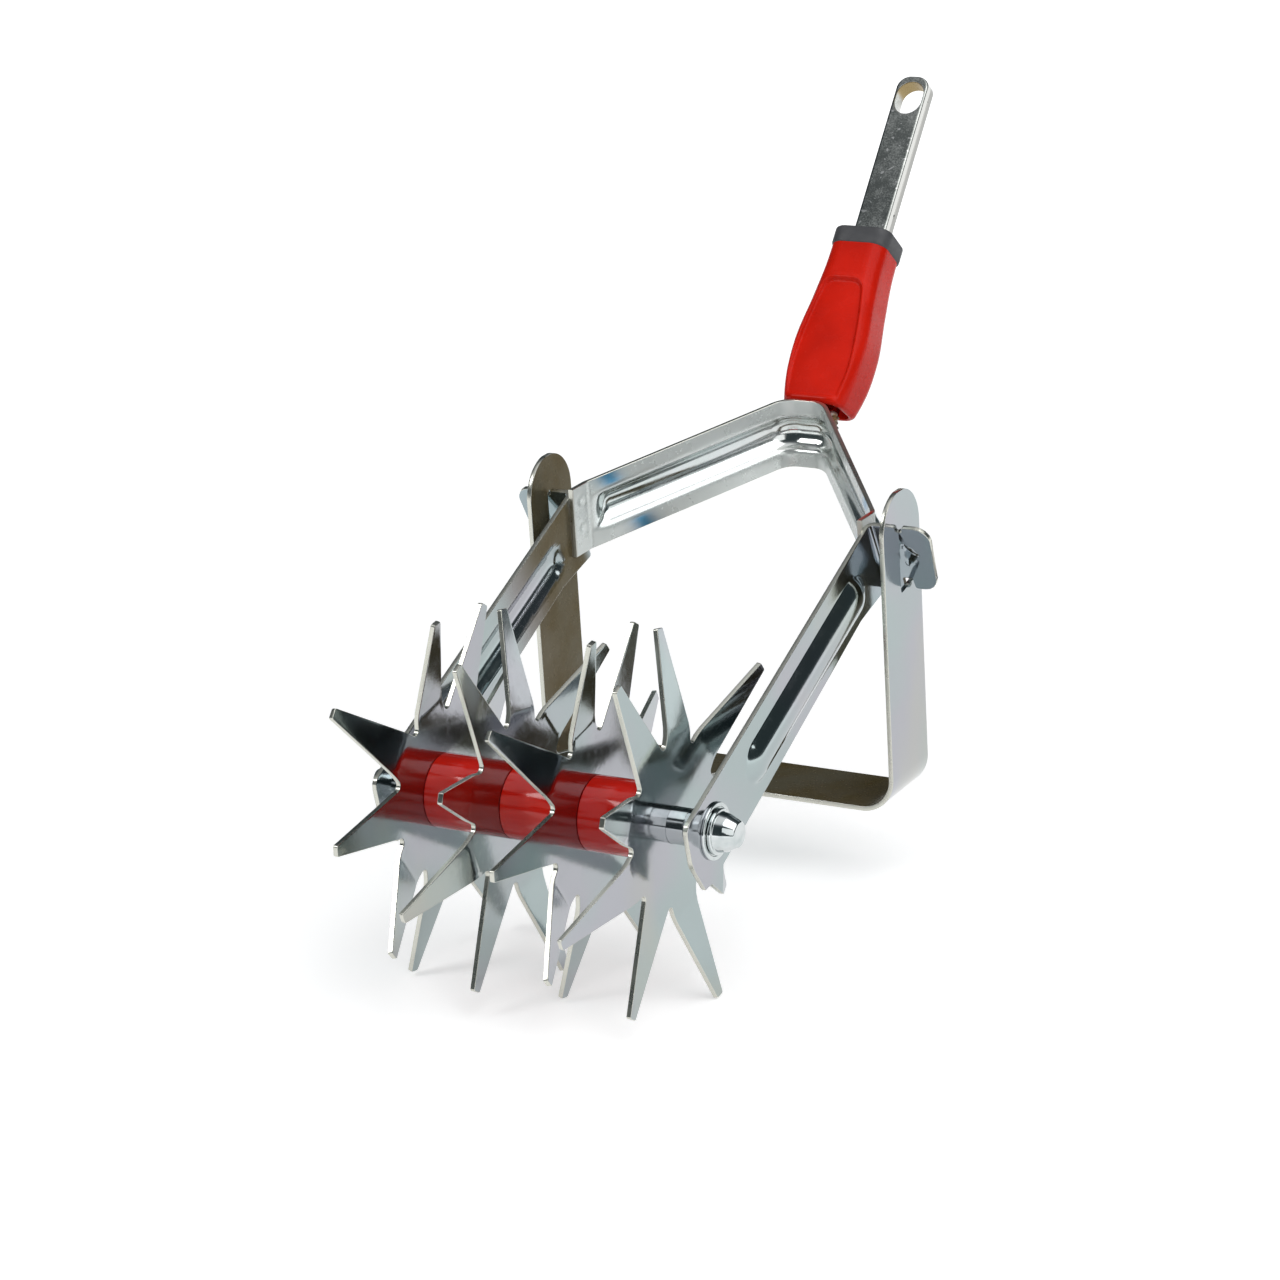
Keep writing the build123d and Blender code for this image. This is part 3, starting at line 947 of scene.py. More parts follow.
@dataclass
class Rotor:
    """Four star discs on a sleeve, with red tubes between them."""

    pitch: float = 34.15
    stars: int = 4
    spikes: int = 9
    sheet: float = 2.0
    edge: float = 0.3
    bore: float = 7.3
    tip_radius: float = 75.0
    tip_half: float = 2.2
    tip_corner: float = 0.9
    tip_points: int = 5
    crease: float = 36.0
    crease_half: float = 8.9
    crease_soft: float = 2.4
    root_radius: float = 2.1
    root_points: int = 7
    side_step: float = 3.2
    near_limit: float = 0.80
    far_limit: float = 0.93
    rings: tuple[int, int, int] = (4, 7, 8)
    bend: float = 15.0
    bend_steps: int = 900
    phase: float = 157.7
    turn: float = 60.0
    tube_radius: float = 14.8
    sleeve_radius: float = 7.2
    sleeve_bore: float = 5.1
    sleeve_half: float = 66.17
    joint_place: float = 59.6
    joint_depth: float = 0.35
    joint_half: float = 0.3

    def station(self, star: int) -> float:
        """Place of a star disc along the axle."""
        return (star - (self.stars - 1) / 2) * self.pitch

    def half_outline(self) -> Array:
        """Half of one spike, from the bottom of its root to the middle of its tip.

        The side is a straight line between the crease and the tip; the root is an arc that touches
        it and its mirror image in the next spike, and the tip's corner is another arc.

        Returns:
            Array (n, 2) of distances along and across the spike.
        """
        taper = (self.crease_half - self.tip_half) / (self.tip_radius - self.crease)
        half_pitch, lean = np.pi / self.spikes, np.arctan(taper)
        flank = self.crease_half + taper * self.crease
        vertex = flank / (np.tan(half_pitch) + taper) / np.cos(half_pitch)
        bisector = circle(half_pitch, *PLANE)
        centre = bisector * (vertex + self.root_radius / np.sin(half_pitch + lean))
        touch = centre - circle(lean, PLANE[1], PLANE[0]) * self.root_radius
        root = arc_between(centre - bisector * self.root_radius, touch, centre, self.root_points)
        reach = self.tip_corner * np.tan((np.pi / 2 - lean) / 2)
        tip = np.array([self.tip_radius, self.tip_half])
        start = tip - circle(lean, PLANE[0], -PLANE[1]) * reach
        stop = tip - np.array([0.0, reach])
        corner = arc_between(start, stop, stop - [self.tip_corner, 0.0], self.tip_points)
        side = straight(touch, start, self.side_step)[1:-1]
        return np.concatenate([root, side, corner, [[self.tip_radius, 0.0]]])

    def bent(self, along: Array, lift: Array, way: Array) -> tuple[Array, Array]:
        """Carry distances along a spike round its crease.

        The slope eases from level to the bend across the crease; the place is the running sum of
        its cosine outwards and its sine along the axle, and the lift goes along the turned normal.

        Args:
            along: Flat distances from the axle.
            lift: Distances from the middle of the sheet.
            way: 1, -1 or 0 for a spike pressed to +X, to -X or left straight.

        Returns:
            Distances outwards and along the axle.
        """
        table = np.linspace(0.0, 1.1 * self.tip_radius, self.bend_steps)
        past = (table - self.crease + self.crease_soft) / (2 * self.crease_soft)
        slope = np.radians(self.bend) * ease(past)
        middle, step = (slope[1:] + slope[:-1]) / 2, table[1] - table[0]
        outwards = np.concatenate([[0.0], np.cumsum(np.cos(middle)) * step])
        sideways = np.concatenate([[0.0], np.cumsum(np.sin(middle)) * step])
        lean = np.interp(along, table, slope) * way
        reach = np.where(way == 0, along, np.interp(along, table, outwards))
        shift = np.interp(along, table, sideways) * way
        return reach - lift * np.sin(lean), shift + lift * np.cos(lean)

    def star(self, index: int) -> Piece:
        """One star disc as a closed ring of loops: front face, rounded rim, back face and bore.

        Each column of the grid is a ray from the bore to the outline. Rings along it crowd together
        at the crease, where the sheet bends.

        Args:
            index: Number of the disc from the left, from 0.

        Returns:
            The new object.
        """
        half = self.half_outline()
        spike = np.concatenate([half * [1, -1], half[-2:0:-1]])
        heading = np.repeat(np.arange(self.spikes) * (2 * np.pi / self.spikes), len(spike))
        way = np.repeat(np.resize([1.0, -1.0, 0.0], self.spikes), len(spike))
        local = np.tile(spike, (self.spikes, 1))
        ahead, aside = circle(heading, *PLANE), circle(heading, PLANE[1], -PLANE[0])
        outline = local[:, :1] * ahead + local[:, 1:] * aside
        tangent = unit(np.roll(outline, -1, axis=0) - np.roll(outline, 1, axis=0))
        normal = np.stack([tangent[:, 1], -tangent[:, 0]], axis=1)
        inner = outline - normal * self.edge
        reach = np.linalg.norm(inner, axis=1)
        ray = inner / reach[:, None]
        lined_up = np.einsum("ij,ij->i", ray, ahead)
        span = reach - self.bore
        near = (self.crease - self.crease_soft) / lined_up
        near = np.minimum(near, self.bore + self.near_limit * span)
        far = (self.crease + self.crease_soft) / lined_up
        far = np.minimum(far, self.bore + self.far_limit * span)
        stops = np.stack([np.full_like(reach, self.bore), near, far, reach])
        parts = [np.linspace(k, k + 1, n, endpoint=False) for k, n in enumerate(self.rings)]
        level = np.concatenate([*parts, [len(parts)]])
        base = np.minimum(level.astype(int), len(parts) - 1)
        rest = (level - base)[:, None]
        face = (stops[base] * (1 - rest) + stops[base + 1] * rest)[..., None] * ray
        rim = inner + normal * self.edge * np.cos(RIM_TURN)[:, None, None]
        flat = np.concatenate([face, rim, face[::-1]])
        half_sheet = np.full(len(face), self.sheet / 2)
        lift = np.concatenate([half_sheet, rim_lift(self.sheet / 2, self.edge), -half_sheet])
        along = np.einsum("rcj,cj->rc", flat, ahead)
        across = np.einsum("rcj,cj->rc", flat, aside)
        outwards, sideways = self.bent(along, lift[:, None], way[None, :])
        angle = np.radians(self.phase - self.turn * ((index + 1) % 2)) + heading
        out, side = circle(angle, BACK, UP), circle(angle, UP, -BACK)
        loops = AXLE + ACROSS * self.station(index)
        loops = loops + outwards[..., None] * out + across[..., None] * side
        loops = loops + sideways[..., None] * ACROSS
        marks = np.zeros(flat.shape[:2])
        marks[len(face) : -len(face)] = 1.0
        piece = make_piece(f"star_{index + 1}", loops, wrap_rows=True, marks={"rim": marks})
        even_shading(piece)
        return piece

    def tube(self, gap: int) -> Piece:
        """Red tube between two discs, its outer ends rounded over.

        Args:
            gap: Number of the gap from the left, from 0.

        Returns:
            The new object.
        """
        low, high = self.station(gap) + self.sheet / 2, self.station(gap + 1) - self.sheet / 2
        inner, outer = self.bore, self.tube_radius
        corners = [(low, inner), (low, outer), (high, outer), (high, inner)]
        return lathe(f"tube_{gap + 1}", corners, [0.1, 0.5, 0.5, 0.1], sides=128)

    def sleeve(self) -> Piece:
        """Bright sleeve under the tubes, with a fine joint near each end.

        Returns:
            The new object.
        """
        end, joint, width = self.sleeve_half, self.joint_place, self.joint_half
        high, low = self.sleeve_radius, self.sleeve_radius - self.joint_depth
        right = [(joint - width, high), (joint, low), (joint + width, high), (end, high)]
        right.append((end, self.sleeve_bore))
        left = [(-place, radius) for place, radius in reversed(right)]
        return lathe("sleeve", left + right, [0.1, 0.6] + [0.08] * 6 + [0.6, 0.1], 5)

    def build(self, palette: Palette) -> None:
        """Make and dress every turning piece.

        Args:
            palette: The finishes.
        """
        for index in range(self.stars):
            palette.settle(self.star(index), Body.ROTOR, Slot.ZINC, f"star_disc_{index + 1}")
        for gap in range(self.stars - 1):
            palette.settle(self.tube(gap), Body.ROTOR, Slot.TUBE, f"spacer_tube_{gap + 1}")
        palette.settle(self.sleeve(), Body.ROTOR, Slot.BRIGHT, "hub_sleeve")


@dataclass
class Yoke:
    """Two pressed legs with their caps, joined by the beaded crown."""

    sheet: float = 2.0
    edge: float = 0.35
    leg_middle: float = 68.319
    leg_columns: int = 68
    tilt: float = 23.0
    half: float = 16.65
    ear_foot: float = 15.2
    ear_lean: float = 1.6
    bend_place: float = 157.3
    bend_radius: float = 3.0
    ear_reach: float = 94.519
    ear_corner: float = 6.0
    neck: float = 80.619
    neck_half: float = 2.5
    upper_notch: float = 2.35
    lower_notch: float = 6.65
    notch_flare: float = 0.6
    dent_start: float = 81.92
    dent_reach: float = 5.2
    dent_half: float = 6.4
    dent_rise: float = 2.4
    dent_slope: float = 0.55
    bead_middle: float = 86.5
    bead_half_length: float = 47.0
    bead_half: float = 8.5
    bead_depth: float = 4.0
    bead_lip: float = 0.8
    warm_from: float = 80.0
    warm_rise: float = 50.0
    warm_to: float = 160.0
    warm_fall: float = 8.0
    warm_flat: float = 0.6
    heat_share: float = 0.1
    heat_from: float = 132.0
    heat_rise: float = 18.0
    ring_radius: float = 11.2
    ring_bore: float = 5.1
    ring_thickness: float = 1.2
    cap_height: float = 10.0
    strap_half: float = 14.75
    strap_columns: int = 78
    strap_step: float = 1.4
    fold_x: float = 65.319
    fold_back: float = 149.76
    fold_rise: float = 65.3
    flange: float = 12.5
    nose_half: float = 8.5
    nose_back: float = 221.5
    nose_rise: float = 86.0
    fold_radius: float = 4.0
    nose_radius: float = 10.0
    groove_half: float = 7.8
    groove_depth: float = 5.0
    groove_lip: float = 1.5
    groove_half_length: float = 101.0
    groove_fade: float = 9.0
    spot_inset: float = 6.5
    spot_heights: Pair = (8.0, -4.0)
    spot_depth: float = 0.45
    spot_radius: float = 1.9
    spot_lip: float = 0.2
    spot_lip_radius: float = 2.9
    spot_lip_width: float = 0.9
    stain_place: float = 84.0
    stain_slope: float = 0.6
    stain_width: float = 7.0
    stain_height: float = 7.5
    stain_rise: float = 3.0
    weld_start: Triple = (8.4, 229.5, 74.0)
    weld_run: Triple = (1.2, 0.0, 21.0)
    weld_radius: float = 2.3
    weld_squash: float = 1.15
    weld_ripples: tuple[Triple, ...] = ((0.28, 62.0, 0.0), (0.2, 23.0, 1.0))

    def leg_rows(self) -> tuple[Array, Array]:
        """Lower and upper edge of the leg with its ear laid flat, row by row.

        Places run along the leg from the axle and on along the unrolled ear, and across the leg.
        The two edges are point lists of one length, and each gap between points takes as many rows
        as its count says.

        Returns:
            Two arrays (rows, 2) of places along and across.
        """
        half, foot, flare = self.half, self.ear_foot, self.notch_flare
        bend, bend_end = self.bend_place, self.bend_place + np.pi / 2 * self.bend_radius
        unrolled = bend_end - self.leg_middle - self.bend_radius
        near, far = unrolled + self.neck - self.neck_half, unrolled + self.neck + self.neck_half
        under, over = self.lower_notch - half, half - self.upper_notch
        hook = [(-19.63, -0.8), (-16.5, -15.3), (-11.8, -16.7), (-9.45, -21.4), (-7.1, -26.2)]
        waist = [(14.0, -16.28), (26.0, -15.99), (125.0, -13.55), (135.0, -13.3), (150.0, -15.55)]
        low = [*hook, (-4.1, -21.4), (-1.0, -half), *waist, (bend, -half), (bend_end, -half)]
        low += [(near - 0.6, -half), (near - 0.1, 0.4 - half), (near, under - 0.6)]
        low += [(near + 0.6, under), (far - 1.1, under), (far - 0.6, under - 0.6)]
        low += [(far + flare - 0.8, 0.6 - foot), (far + flare, -foot)]
        heel = np.array([(-17.05, 13.45), (-13.13, half), (-13.13, 12.65)])
        high = [(-19.64, 0.8), (-17.96, 9.0), *arc_between(*heel, 4)]
        level = (-6.0, 10.0, 26.0, 125.0, 135.0, 150.0, bend, bend_end, near - 0.6)
        high += [(place, half) for place in level]
        high += [(near - 0.1, half - 0.3), (near, over + 0.5), (near + 0.5, over)]
        high += [(far - 0.5, over), (far, over + 0.5), (far + 0.1, half - 0.3), (far + 0.6, half)]
        angle = np.radians([0.0, 22.5, 45.0, 67.5, 82.0, 90.0])
        round_out = unrolled + self.ear_reach - self.ear_corner * (1 - np.sin(angle))
        round_up = self.ear_corner * (1 - np.cos(angle))
        low_end = np.stack([round_out - self.ear_lean, round_up - foot], axis=1)
        high_end = np.stack([round_out, half - round_up], axis=1)
        leg_counts = [4, 3, 3, 3, 3, 3, 6, 8, 84, 8, 11, 5, 10, 5]
        ear_counts = [1, 2, 1, 4, 1, 6, 1, 2, 3, 3, 2, 1, 1]
        marks = np.concatenate([[0], np.cumsum(leg_counts + ear_counts)])
        rows = np.arange(marks[-1] + 1)
        edges = np.concatenate([low, low_end]), np.concatenate([high, high_end])
        return tuple(np.stack([np.interp(rows, marks, row) for row in e.T], axis=1) for e in edges)

    def dent(self, out: Array, across: Array) -> Array:
        """Depth of the pressed triangle in the ear, sheared beside the stirrup's arm.

        It grows with the distance inside the two slanting sides, from the tip to the sheared side.

        Args:
            out: Places along the axle, outwards.
            across: Places across the leg.

        Returns:
            Depth at each point, from 0 on the flat ear.
        """
        side = unit(np.array([self.dent_half, self.dent_reach]))
        to_tip = self.dent_start + self.dent_reach - out
        inside = to_tip * side[0] - np.abs(across - self.dent_rise) * side[1]
        return self.dent_slope * np.maximum(inside, 0.0) * (out > self.dent_start)

    def leg(self, side: Side) -> Piece:
        """Pressed leg: a ruled outline with a long bead, its upper end rolled out to the ear.

        Beyond the bend the sheet follows a quarter circle and then runs straight along the axle.

        Args:
            side: Hand of the leg.

        Returns:
            The new object.
        """
        low, high = self.leg_rows()
        span = np.linalg.norm(high - low, axis=1)[:, None]
        share = np.linspace(0.0, 1.0, self.leg_columns)[None, :]
        rim = np.minimum(self.edge / span, 0.2)
        share = np.concatenate([0 * rim, rim + (1 - 2 * rim) * share, 1 + 0 * rim], axis=1)
        flat = low[:, None] * (1 - share[..., None]) + high[:, None] * share[..., None]
        run, across = flat[..., 0], flat[..., 1]
        past = np.maximum(np.abs(run - self.bead_middle) - self.bead_half_length, 0.0)
        swell = pressed(np.hypot(past, across), self.bead_half, self.bead_depth, self.bead_lip)
        angle = np.clip((run - self.bend_place) / self.bend_radius, 0.0, np.pi / 2)
        beyond = np.maximum(run - self.bend_place - np.pi / 2 * self.bend_radius, 0.0)
        out = self.leg_middle + self.bend_radius * (1 - np.cos(angle)) + beyond
        out = out + swell * (angle < 0.1)
        along = np.minimum(run, self.bend_place) + self.bend_radius * np.sin(angle)
        along = along + self.dent(out, across)
        tilt = np.radians(self.tilt)
        back = along * np.cos(tilt) - across * np.sin(tilt)
        rise = along * np.sin(tilt) + across * np.cos(tilt)
        middle = AXLE + np.stack([out * side.value, back, rise], axis=-1)
        # Warm tint on the left leg's inner face, off the bead: partly a brown film, partly painted
        # shade between the legs.
        warm = ease((run - self.warm_from) / self.warm_rise)
        warm = warm * ease((self.warm_to - run) / self.warm_fall)
        warm = warm * (swell < self.warm_flat) * (side is Side.LEFT)
        heat = self.heat_share * ease((run - self.heat_from) / self.heat_rise)
        name = f"{side.hand}_leg_sheet"
        return sheet_piece(name, middle, self.sheet, self.edge, (warm, 0 * warm), heat)

    def crown(self) -> Piece:
        """Strap carried along the bent front line of the crown, with a pressed groove.

        Each row is upright. The strap's middle lies half its thickness behind the front line, and
        the groove adds its depth along the same level normal. Two dents on each flange are spot
        welds: a bell curve by distance, less another round its lip.

        Returns:
            The new object.
        """
        half = np.array(
            [
                [self.nose_half, self.nose_back, self.nose_rise],
                [self.fold_x, self.fold_back, self.fold_rise],
                [self.fold_x, self.fold_back - self.flange, self.fold_rise],
            ]
        )
        corners = np.concatenate([(half * [-1, 1, 1])[::-1], half])
        radii = [self.fold_radius, self.nose_radius, self.nose_radius, self.fold_radius]
        path = bent_path(corners, radii, self.strap_step)
        length = lengths(path)
        place = np.abs(length - length[-1] / 2)[:, None]
        outwards = unit(np.cross(UP, np.gradient(path, axis=0) * [1, 1, 0]))
        height = strip_columns(self.strap_half, self.edge, self.strap_columns)[None, :]
        groove = pressed(np.abs(height), self.groove_half, self.groove_depth, self.groove_lip)
        sink = groove * ease((self.groove_half_length - place) / self.groove_fade)
        for spot in self.spot_heights:
            near = np.hypot(place - (length[-1] / 2 - self.spot_inset), height - spot)
            lip = (near - self.spot_lip_radius) / self.spot_lip_width
            sink = sink + self.spot_depth * np.exp(-((near / self.spot_radius) ** 2))
            sink = sink - self.spot_lip * np.exp(-(lip**2))
        depth = self.sheet / 2 + sink
        middle = AXLE + path[:, None] + height[..., None] * UP
        middle = middle + depth[..., None] * outwards[:, None]
        aside = (place - self.stain_place - self.stain_slope * height) / self.stain_width
        heat = np.exp(-(aside**2)) * ease((np.abs(height) - self.stain_height) / self.stain_rise)
        matt = (1.0 - ease(sink)) * (1.0 - heat)
        return sheet_piece("crown_strap", middle, self.sheet, self.edge, (matt, matt), heat)

    def ring(self, side: Side) -> Piece:
        """Flat ring under the cap, with a rounded edge and a shallow groove on its face.

        Args:
            side: End of the axle.

        Returns:
            The new object.
        """
        low = self.leg_middle + self.sheet / 2
        high, radius, bore = low + self.ring_thickness, self.ring_radius, self.ring_bore
        corners = [(low, bore), (low, radius), (high, radius)]
        corners += [(high, 9.6), (high - 0.3, 9.3), (high, bore)]
        radii = [0.1, 0.3, 0.5, 0.1, 0.1, 0.1]
        return lathe(f"{side.hand}_ring", corners, radii, way=side.value)

    def cap(self, side: Side) -> Piece:
        """Pressed cap: a flange, a soft hollow step and a blunt cone with a slightly domed end.

        Args:
            side: End of the axle.

        Returns:
            The new object.
        """
        foot = self.leg_middle + self.sheet / 2 + self.ring_thickness
        top = foot + self.cap_height
        corners = [(foot, 0.02), (foot, 9.0), (foot + 1.6, 9.0), (foot + 1.6, 7.8)]
        corners += [(foot + 5.0, 7.2), (top - 0.5, 4.9), (top, 0.02)]
        radii = [0.005, 0.4, 0.6, 0.35, 2.5, 1.0, 0.005]
        return lathe(f"{side.hand}_end_cap", corners, radii, 7, way=side.value)

    def weld(self, side: Side) -> Piece:
        """Lumpy weld bead beside the tang's foot: a tube whose radius ripples along its run.

        Args:
            side: Side of the tang that it lies on.

        Returns:
            The new object.
        """
        steps = np.linspace(0.0, 1.0, 46)
        run = np.array(self.weld_start) + steps[:, None] * np.array(self.weld_run)
        line = AXLE + run * [side.value, 1, 1]
        taper = np.sqrt(np.clip(1 - (2 * steps - 1) ** 8, 0.0004, 1.0))
        ripples = [size * np.sin(steps * pace + lag) for size, pace, lag in self.weld_ripples]
        radius = (self.weld_radius + sum(ripples)) * taper
        ring = circle(round_angles(28), ACROSS * self.weld_squash, BACK)
        loops = line[:, None] + radius[:, None, None] * ring
        return make_piece(f"{side.hand}_weld_bead", loops)

    def build(self, palette: Palette) -> None:
        """Make and dress every piece of the yoke's frame.

        Args:
            palette: The finishes.
        """
        for side in Side:
            hand = side.hand
            palette.settle(self.leg(side), Body.YOKE, Slot.ZINC, f"{hand}_leg")
            palette.settle(self.ring(side), Body.YOKE, Slot.BRIGHT, f"{hand}_cap_ring")
            palette.settle(self.cap(side), Body.YOKE, Slot.BRIGHT, f"{hand}_cap")
            palette.repaint(f"{hand}_washer", Slot.BRIGHT)
            nodes = ["tang_weld"] if side is Side.LEFT else []
            palette.settle(self.weld(side), Body.YOKE, Slot.ZINC, *nodes, finish=palette.weld)
        palette.settle(self.crown(), Body.YOKE, Slot.ZINC, "crown", finish=palette.strap)
        palette.repaint("axle", Slot.BRIGHT)


@dataclass
class Stirrup:
    """Bent strap that hangs on the ears, with the scraper blade at its foot."""

    sheet: float = 2.0
    edge: float = 0.35
    half_width: float = 16.7
    columns: int = 26
    step: float = 2.2
    arm: float = 80.619
    top: float = 92.0
    foot: float = -39.4
    corner: float = 14.0
    tongue: float = 16.4
    back: float = 143.96
    pivot_back: float = 142.36
    pivot_up: float = 74.877
    slot_half: float = 1.3
    slot_above: float = 1.3
    slot_reach: float = 25.3
    slot_length: float = 95.0
    ear_tilt: float = 23.0
    swing: float = 22.0

    def strap(self) -> Piece:
        """Strap carried along its bent middle line, with a circle's chord as width at its tongues.

        Returns:
            The new object.
        """
        arm, top, foot = self.arm, self.top, self.foot
        corners = np.array([[-arm, top], [-arm, foot], [arm, foot], [arm, top]])
        line = bent_path(corners, [self.corner] * 2, self.step)
        angle = np.radians(np.concatenate([[7.0], np.arange(12.0, 90.0, 5.0)]))
        chord = self.tongue * (1 - np.cos(angle))
        body = line[(line[:, 1] < top - self.tongue) | (np.abs(line[:, 0]) < arm - 1)]
        ends = np.stack([np.full(len(chord), -arm), top - chord], axis=1)
        path = np.concatenate([ends, body, (ends * [-1, 1])[::-1]])
        fall = np.concatenate([np.sin(angle), np.ones(len(body)), np.sin(angle)[::-1]])
        half = self.half_width - self.tongue + self.tongue * fall
        across = half[:, None] * strip_columns(1.0, self.edge / self.half_width, self.columns)
        flat = path[:, :1] * ACROSS + path[:, 1:] * UP
        middle = AXLE + flat[:, None] + (self.back + across)[..., None] * BACK
        # Warm tint over the strap's inner face: partly a brown film, partly painted shade between
        # its arms.
        warm = np.ones(across.shape)
        films = (warm, 0 * warm)
        piece = sheet_piece("stirrup_strap", middle, self.sheet, self.edge, films, 0 * warm)
        cut_out(piece, self.slot())
        return piece

    def slot(self) -> Piece:
        """Long prism through both arms: a fan below the pivot, from the ear's slope over the swing.

        Returns:
            The new object, to be cut out.
        """
        turn = np.radians(np.array([self.ear_tilt, self.ear_tilt - self.swing]))
        down = circle(turn, -PLANE[1], PLANE[0])
        aside = circle(turn, *PLANE) * np.array([[self.slot_half], [-self.slot_half]])
        above, below = aside - self.slot_above * down, aside + self.slot_reach * down
        corners = np.stack([above[0], below[0], below[1], above[1]])
        outline = rounded_outline(corners, [0.6, 1.0, 1.0, 0.6], 5)
        origin = AXLE + BACK * self.pivot_back + UP * self.pivot_up
        ends = (-self.slot_length, self.slot_length)
        return prism("slot", [outline, outline], ends, np.stack([BACK, UP, ACROSS]), origin)

    def build(self, palette: Palette) -> None:
        """Make and dress the stirrup."""
        palette.settle(self.strap(), Body.STIRRUP, Slot.ZINC, "stirrup")


@dataclass
class Handle:
    """Flat tang with its latch hole, the moulded grip and the collar above it.

    Places on the grip, the collar and the panel are distances below the hole, along the tang.
    """

    tilt: float = 48.0
    half_width: float = 7.5
    half_depth: float = 4.0
    bar_corner: float = 0.9
    bar_step: float = 2.0
    bar_crease: float = 35.0
    end: float = 10.5
    end_round: float = 5.4
    bend_radius: float = 12.0
    foot_back: float = -105.8
    foot_low: float = -133.0
    bend_low: float = -117.5
    hole_half: float = 6.3
    hole_straight: float = 1.55
    hole_flares: tuple[float, ...] = (1.3, 0.2, 0.06, 0.0, 0.0, 0.06, 0.2, 1.3)
    hole_heights: tuple[float, ...] = (-5.1, -4.0, -3.75, -3.4, 3.4, 3.75, 4.0, 5.1)
    seam_start: float = 10.0
    seam_length: float = 58.0
    seam_fade: float = 2.0
    seam_depth: float = 0.8
    wall_margin: float = 0.1
    wall_from: float = 1.0
    wall_rise: float = 3.0
    collar_top: float = 68.5
    collar_foot: float = 76.5
    collar_half: float = 13.5
    collar_front: float = 13.0
    collar_back: float = 10.6
    collar_corner: float = 6.5
    collar_round: float = 0.9
    collar_steps: tuple[float, ...] = (5.0, 1.0, 0.4, 0.0)
    collar_insets: tuple[float, ...] = (0.0, 0.0, 0.15, 0.4)
    grip_corner: float = 7.0
    grip_foot: float = 153.0
    grip_foot_front: float = 12.6
    grip_knots: tuple[float, ...] = (76.5, 86.0, 102.0, 124.0, 147.0, 153.0)
    grip_half: tuple[float, ...] = (13.1, 13.2, 14.5, 16.9, 15.2, 14.0)
    grip_front: tuple[float, ...] = (12.9, 13.3, 13.9, 14.2, 13.4, 12.7)
    grip_back: tuple[float, ...] = (10.0, 10.5, 11.3, 11.7, 11.2, 10.5)
    foot_round: float = 1.6
    hollow_steps: Triple = (0.3, 1.5, 4.0)
    hollow_insets: Triple = (2.4, 2.7, 2.9)
    foot_slope: float = 0.1
    slope_from: float = 130.0
    slope_rise: float = 20.0
    panel_floor: float = 12.4
    panel_crown: float = 0.006
    panel_top: float = 94.0
    panel_foot: float = 150.0
    panel_corner: float = 4.5
    panel_knots: tuple[float, ...] = (90.0, 101.0, 119.0, 137.0, 151.0)
    panel_half: tuple[float, ...] = (7.6, 10.2, 13.0, 13.8, 11.8)
    panel_edge: float = 0.2
    panel_edge_width: float = 1.5
    panel_lip: float = 0.25
    panel_lip_place: float = 0.8

    def axes(self) -> tuple[Array, Array]:
        """Directions along the tang, upwards, and out of its front face."""
        tilt = np.radians(self.tilt)
        return circle(tilt, BACK, UP), circle(tilt, UP, -BACK)

    def lay(self, down: Array, across: Array, inward: Array) -> Array:
        """Points from distances below the hole, across the tang and out of its front face."""
        rise, front = self.axes()
        return -down[..., None] * rise + across[..., None] * ACROSS + inward[..., None] * front

    def bar(self) -> Piece:
        """Tang: a rounded-rectangle section carried along the bent bar, narrowed to round ends.

        A fine seam runs down both sides near the hole, as a notch in the section.

        Returns:
            The new object.
        """
        foot = [0.0, self.foot_back, self.foot_low]
        bend = [0.0, self.foot_back, self.bend_low]
        corners = np.array([foot, bend, self.axes()[0] * self.end])
        path = bent_path(corners, [self.bend_radius], self.bar_step)
        length = lengths(path)
        angle = np.radians(np.concatenate([[6.0], np.arange(12.0, 91.0, 6.0)]))
        cap = self.end_round * (1 - np.cos(angle))
        inside = length[(length > self.end_round) & (length < length[-1] - self.end_round)]
        places = np.concatenate([cap, inside, (length[-1] - cap)[::-1]])
        line = np.stack([np.interp(places, length, path[:, k]) for k in range(3)], axis=1)
        front = np.cross(ACROSS, unit(np.gradient(line, axis=0)))
        above = length[-1] - places
        short = np.maximum(self.end_round - np.minimum(places, above), 0.0)
        chord = np.sqrt(np.maximum(self.end_round**2 - short**2, 0.0))
        half = self.half_width - self.end_round + chord
        deep = np.array([0.9, 0.5, 0.15, 0.0, -0.15, -0.5, -0.9])
        loop = RoundedLoop.of(6, np.linspace(0.96, -0.96, 13), deep)
        depth, corner = np.full_like(half, self.half_depth), np.full_like(half, self.bar_corner)
        across, inward = loop.points(half, depth, corner)
        on_side = (np.abs(loop.shares[:, 1]) < 0.05) & (np.abs(loop.turns[:, 0]) > 0.99)
        seam_end = self.seam_start + self.seam_length
        seam = ease((above - self.seam_start) / self.seam_fade)
        seam = seam * ease((seam_end - above) / self.seam_fade)
        across = across - np.sign(across) * on_side * seam[:, None] * self.seam_depth
        loops = line[:, None] + across[..., None] * ACROSS + inward[..., None] * front[:, None]
        face = np.tile(loop.turns[:, 1] ** 2, (len(places), 1))
        # rear marks the rear half of each side and the seam's notch, where the finish paints shade.
        rear = np.tile(loop.shares[:, 1] < 0.01, (len(places), 1))
        marks = {"face": face, "rear": rear}
        piece = make_piece("tang_bar", loops, marks=marks, crease=self.bar_crease)
        cut_out(piece, self.hole(), crease=self.bar_crease)
        even_shading(piece)
        self.stain(piece.data)
        return piece

    def stain(self, mesh: bpy.types.Mesh) -> None:
        """Mark the hole's upper wall: the points inside its outline, by their place along.

        Args:
            mesh: Mesh of the tang, with the hole cut.
        """
        points = points_of(mesh) / MILLIMETRE
        along = points @ self.axes()[0]
        reach = np.hypot(points[:, 0], np.maximum(np.abs(along) - self.hole_straight, 0.0))
        share = ease((along - self.wall_from) / self.wall_rise)
        add_mark(mesh, "wall", (reach < self.hole_half + self.wall_margin) * share)

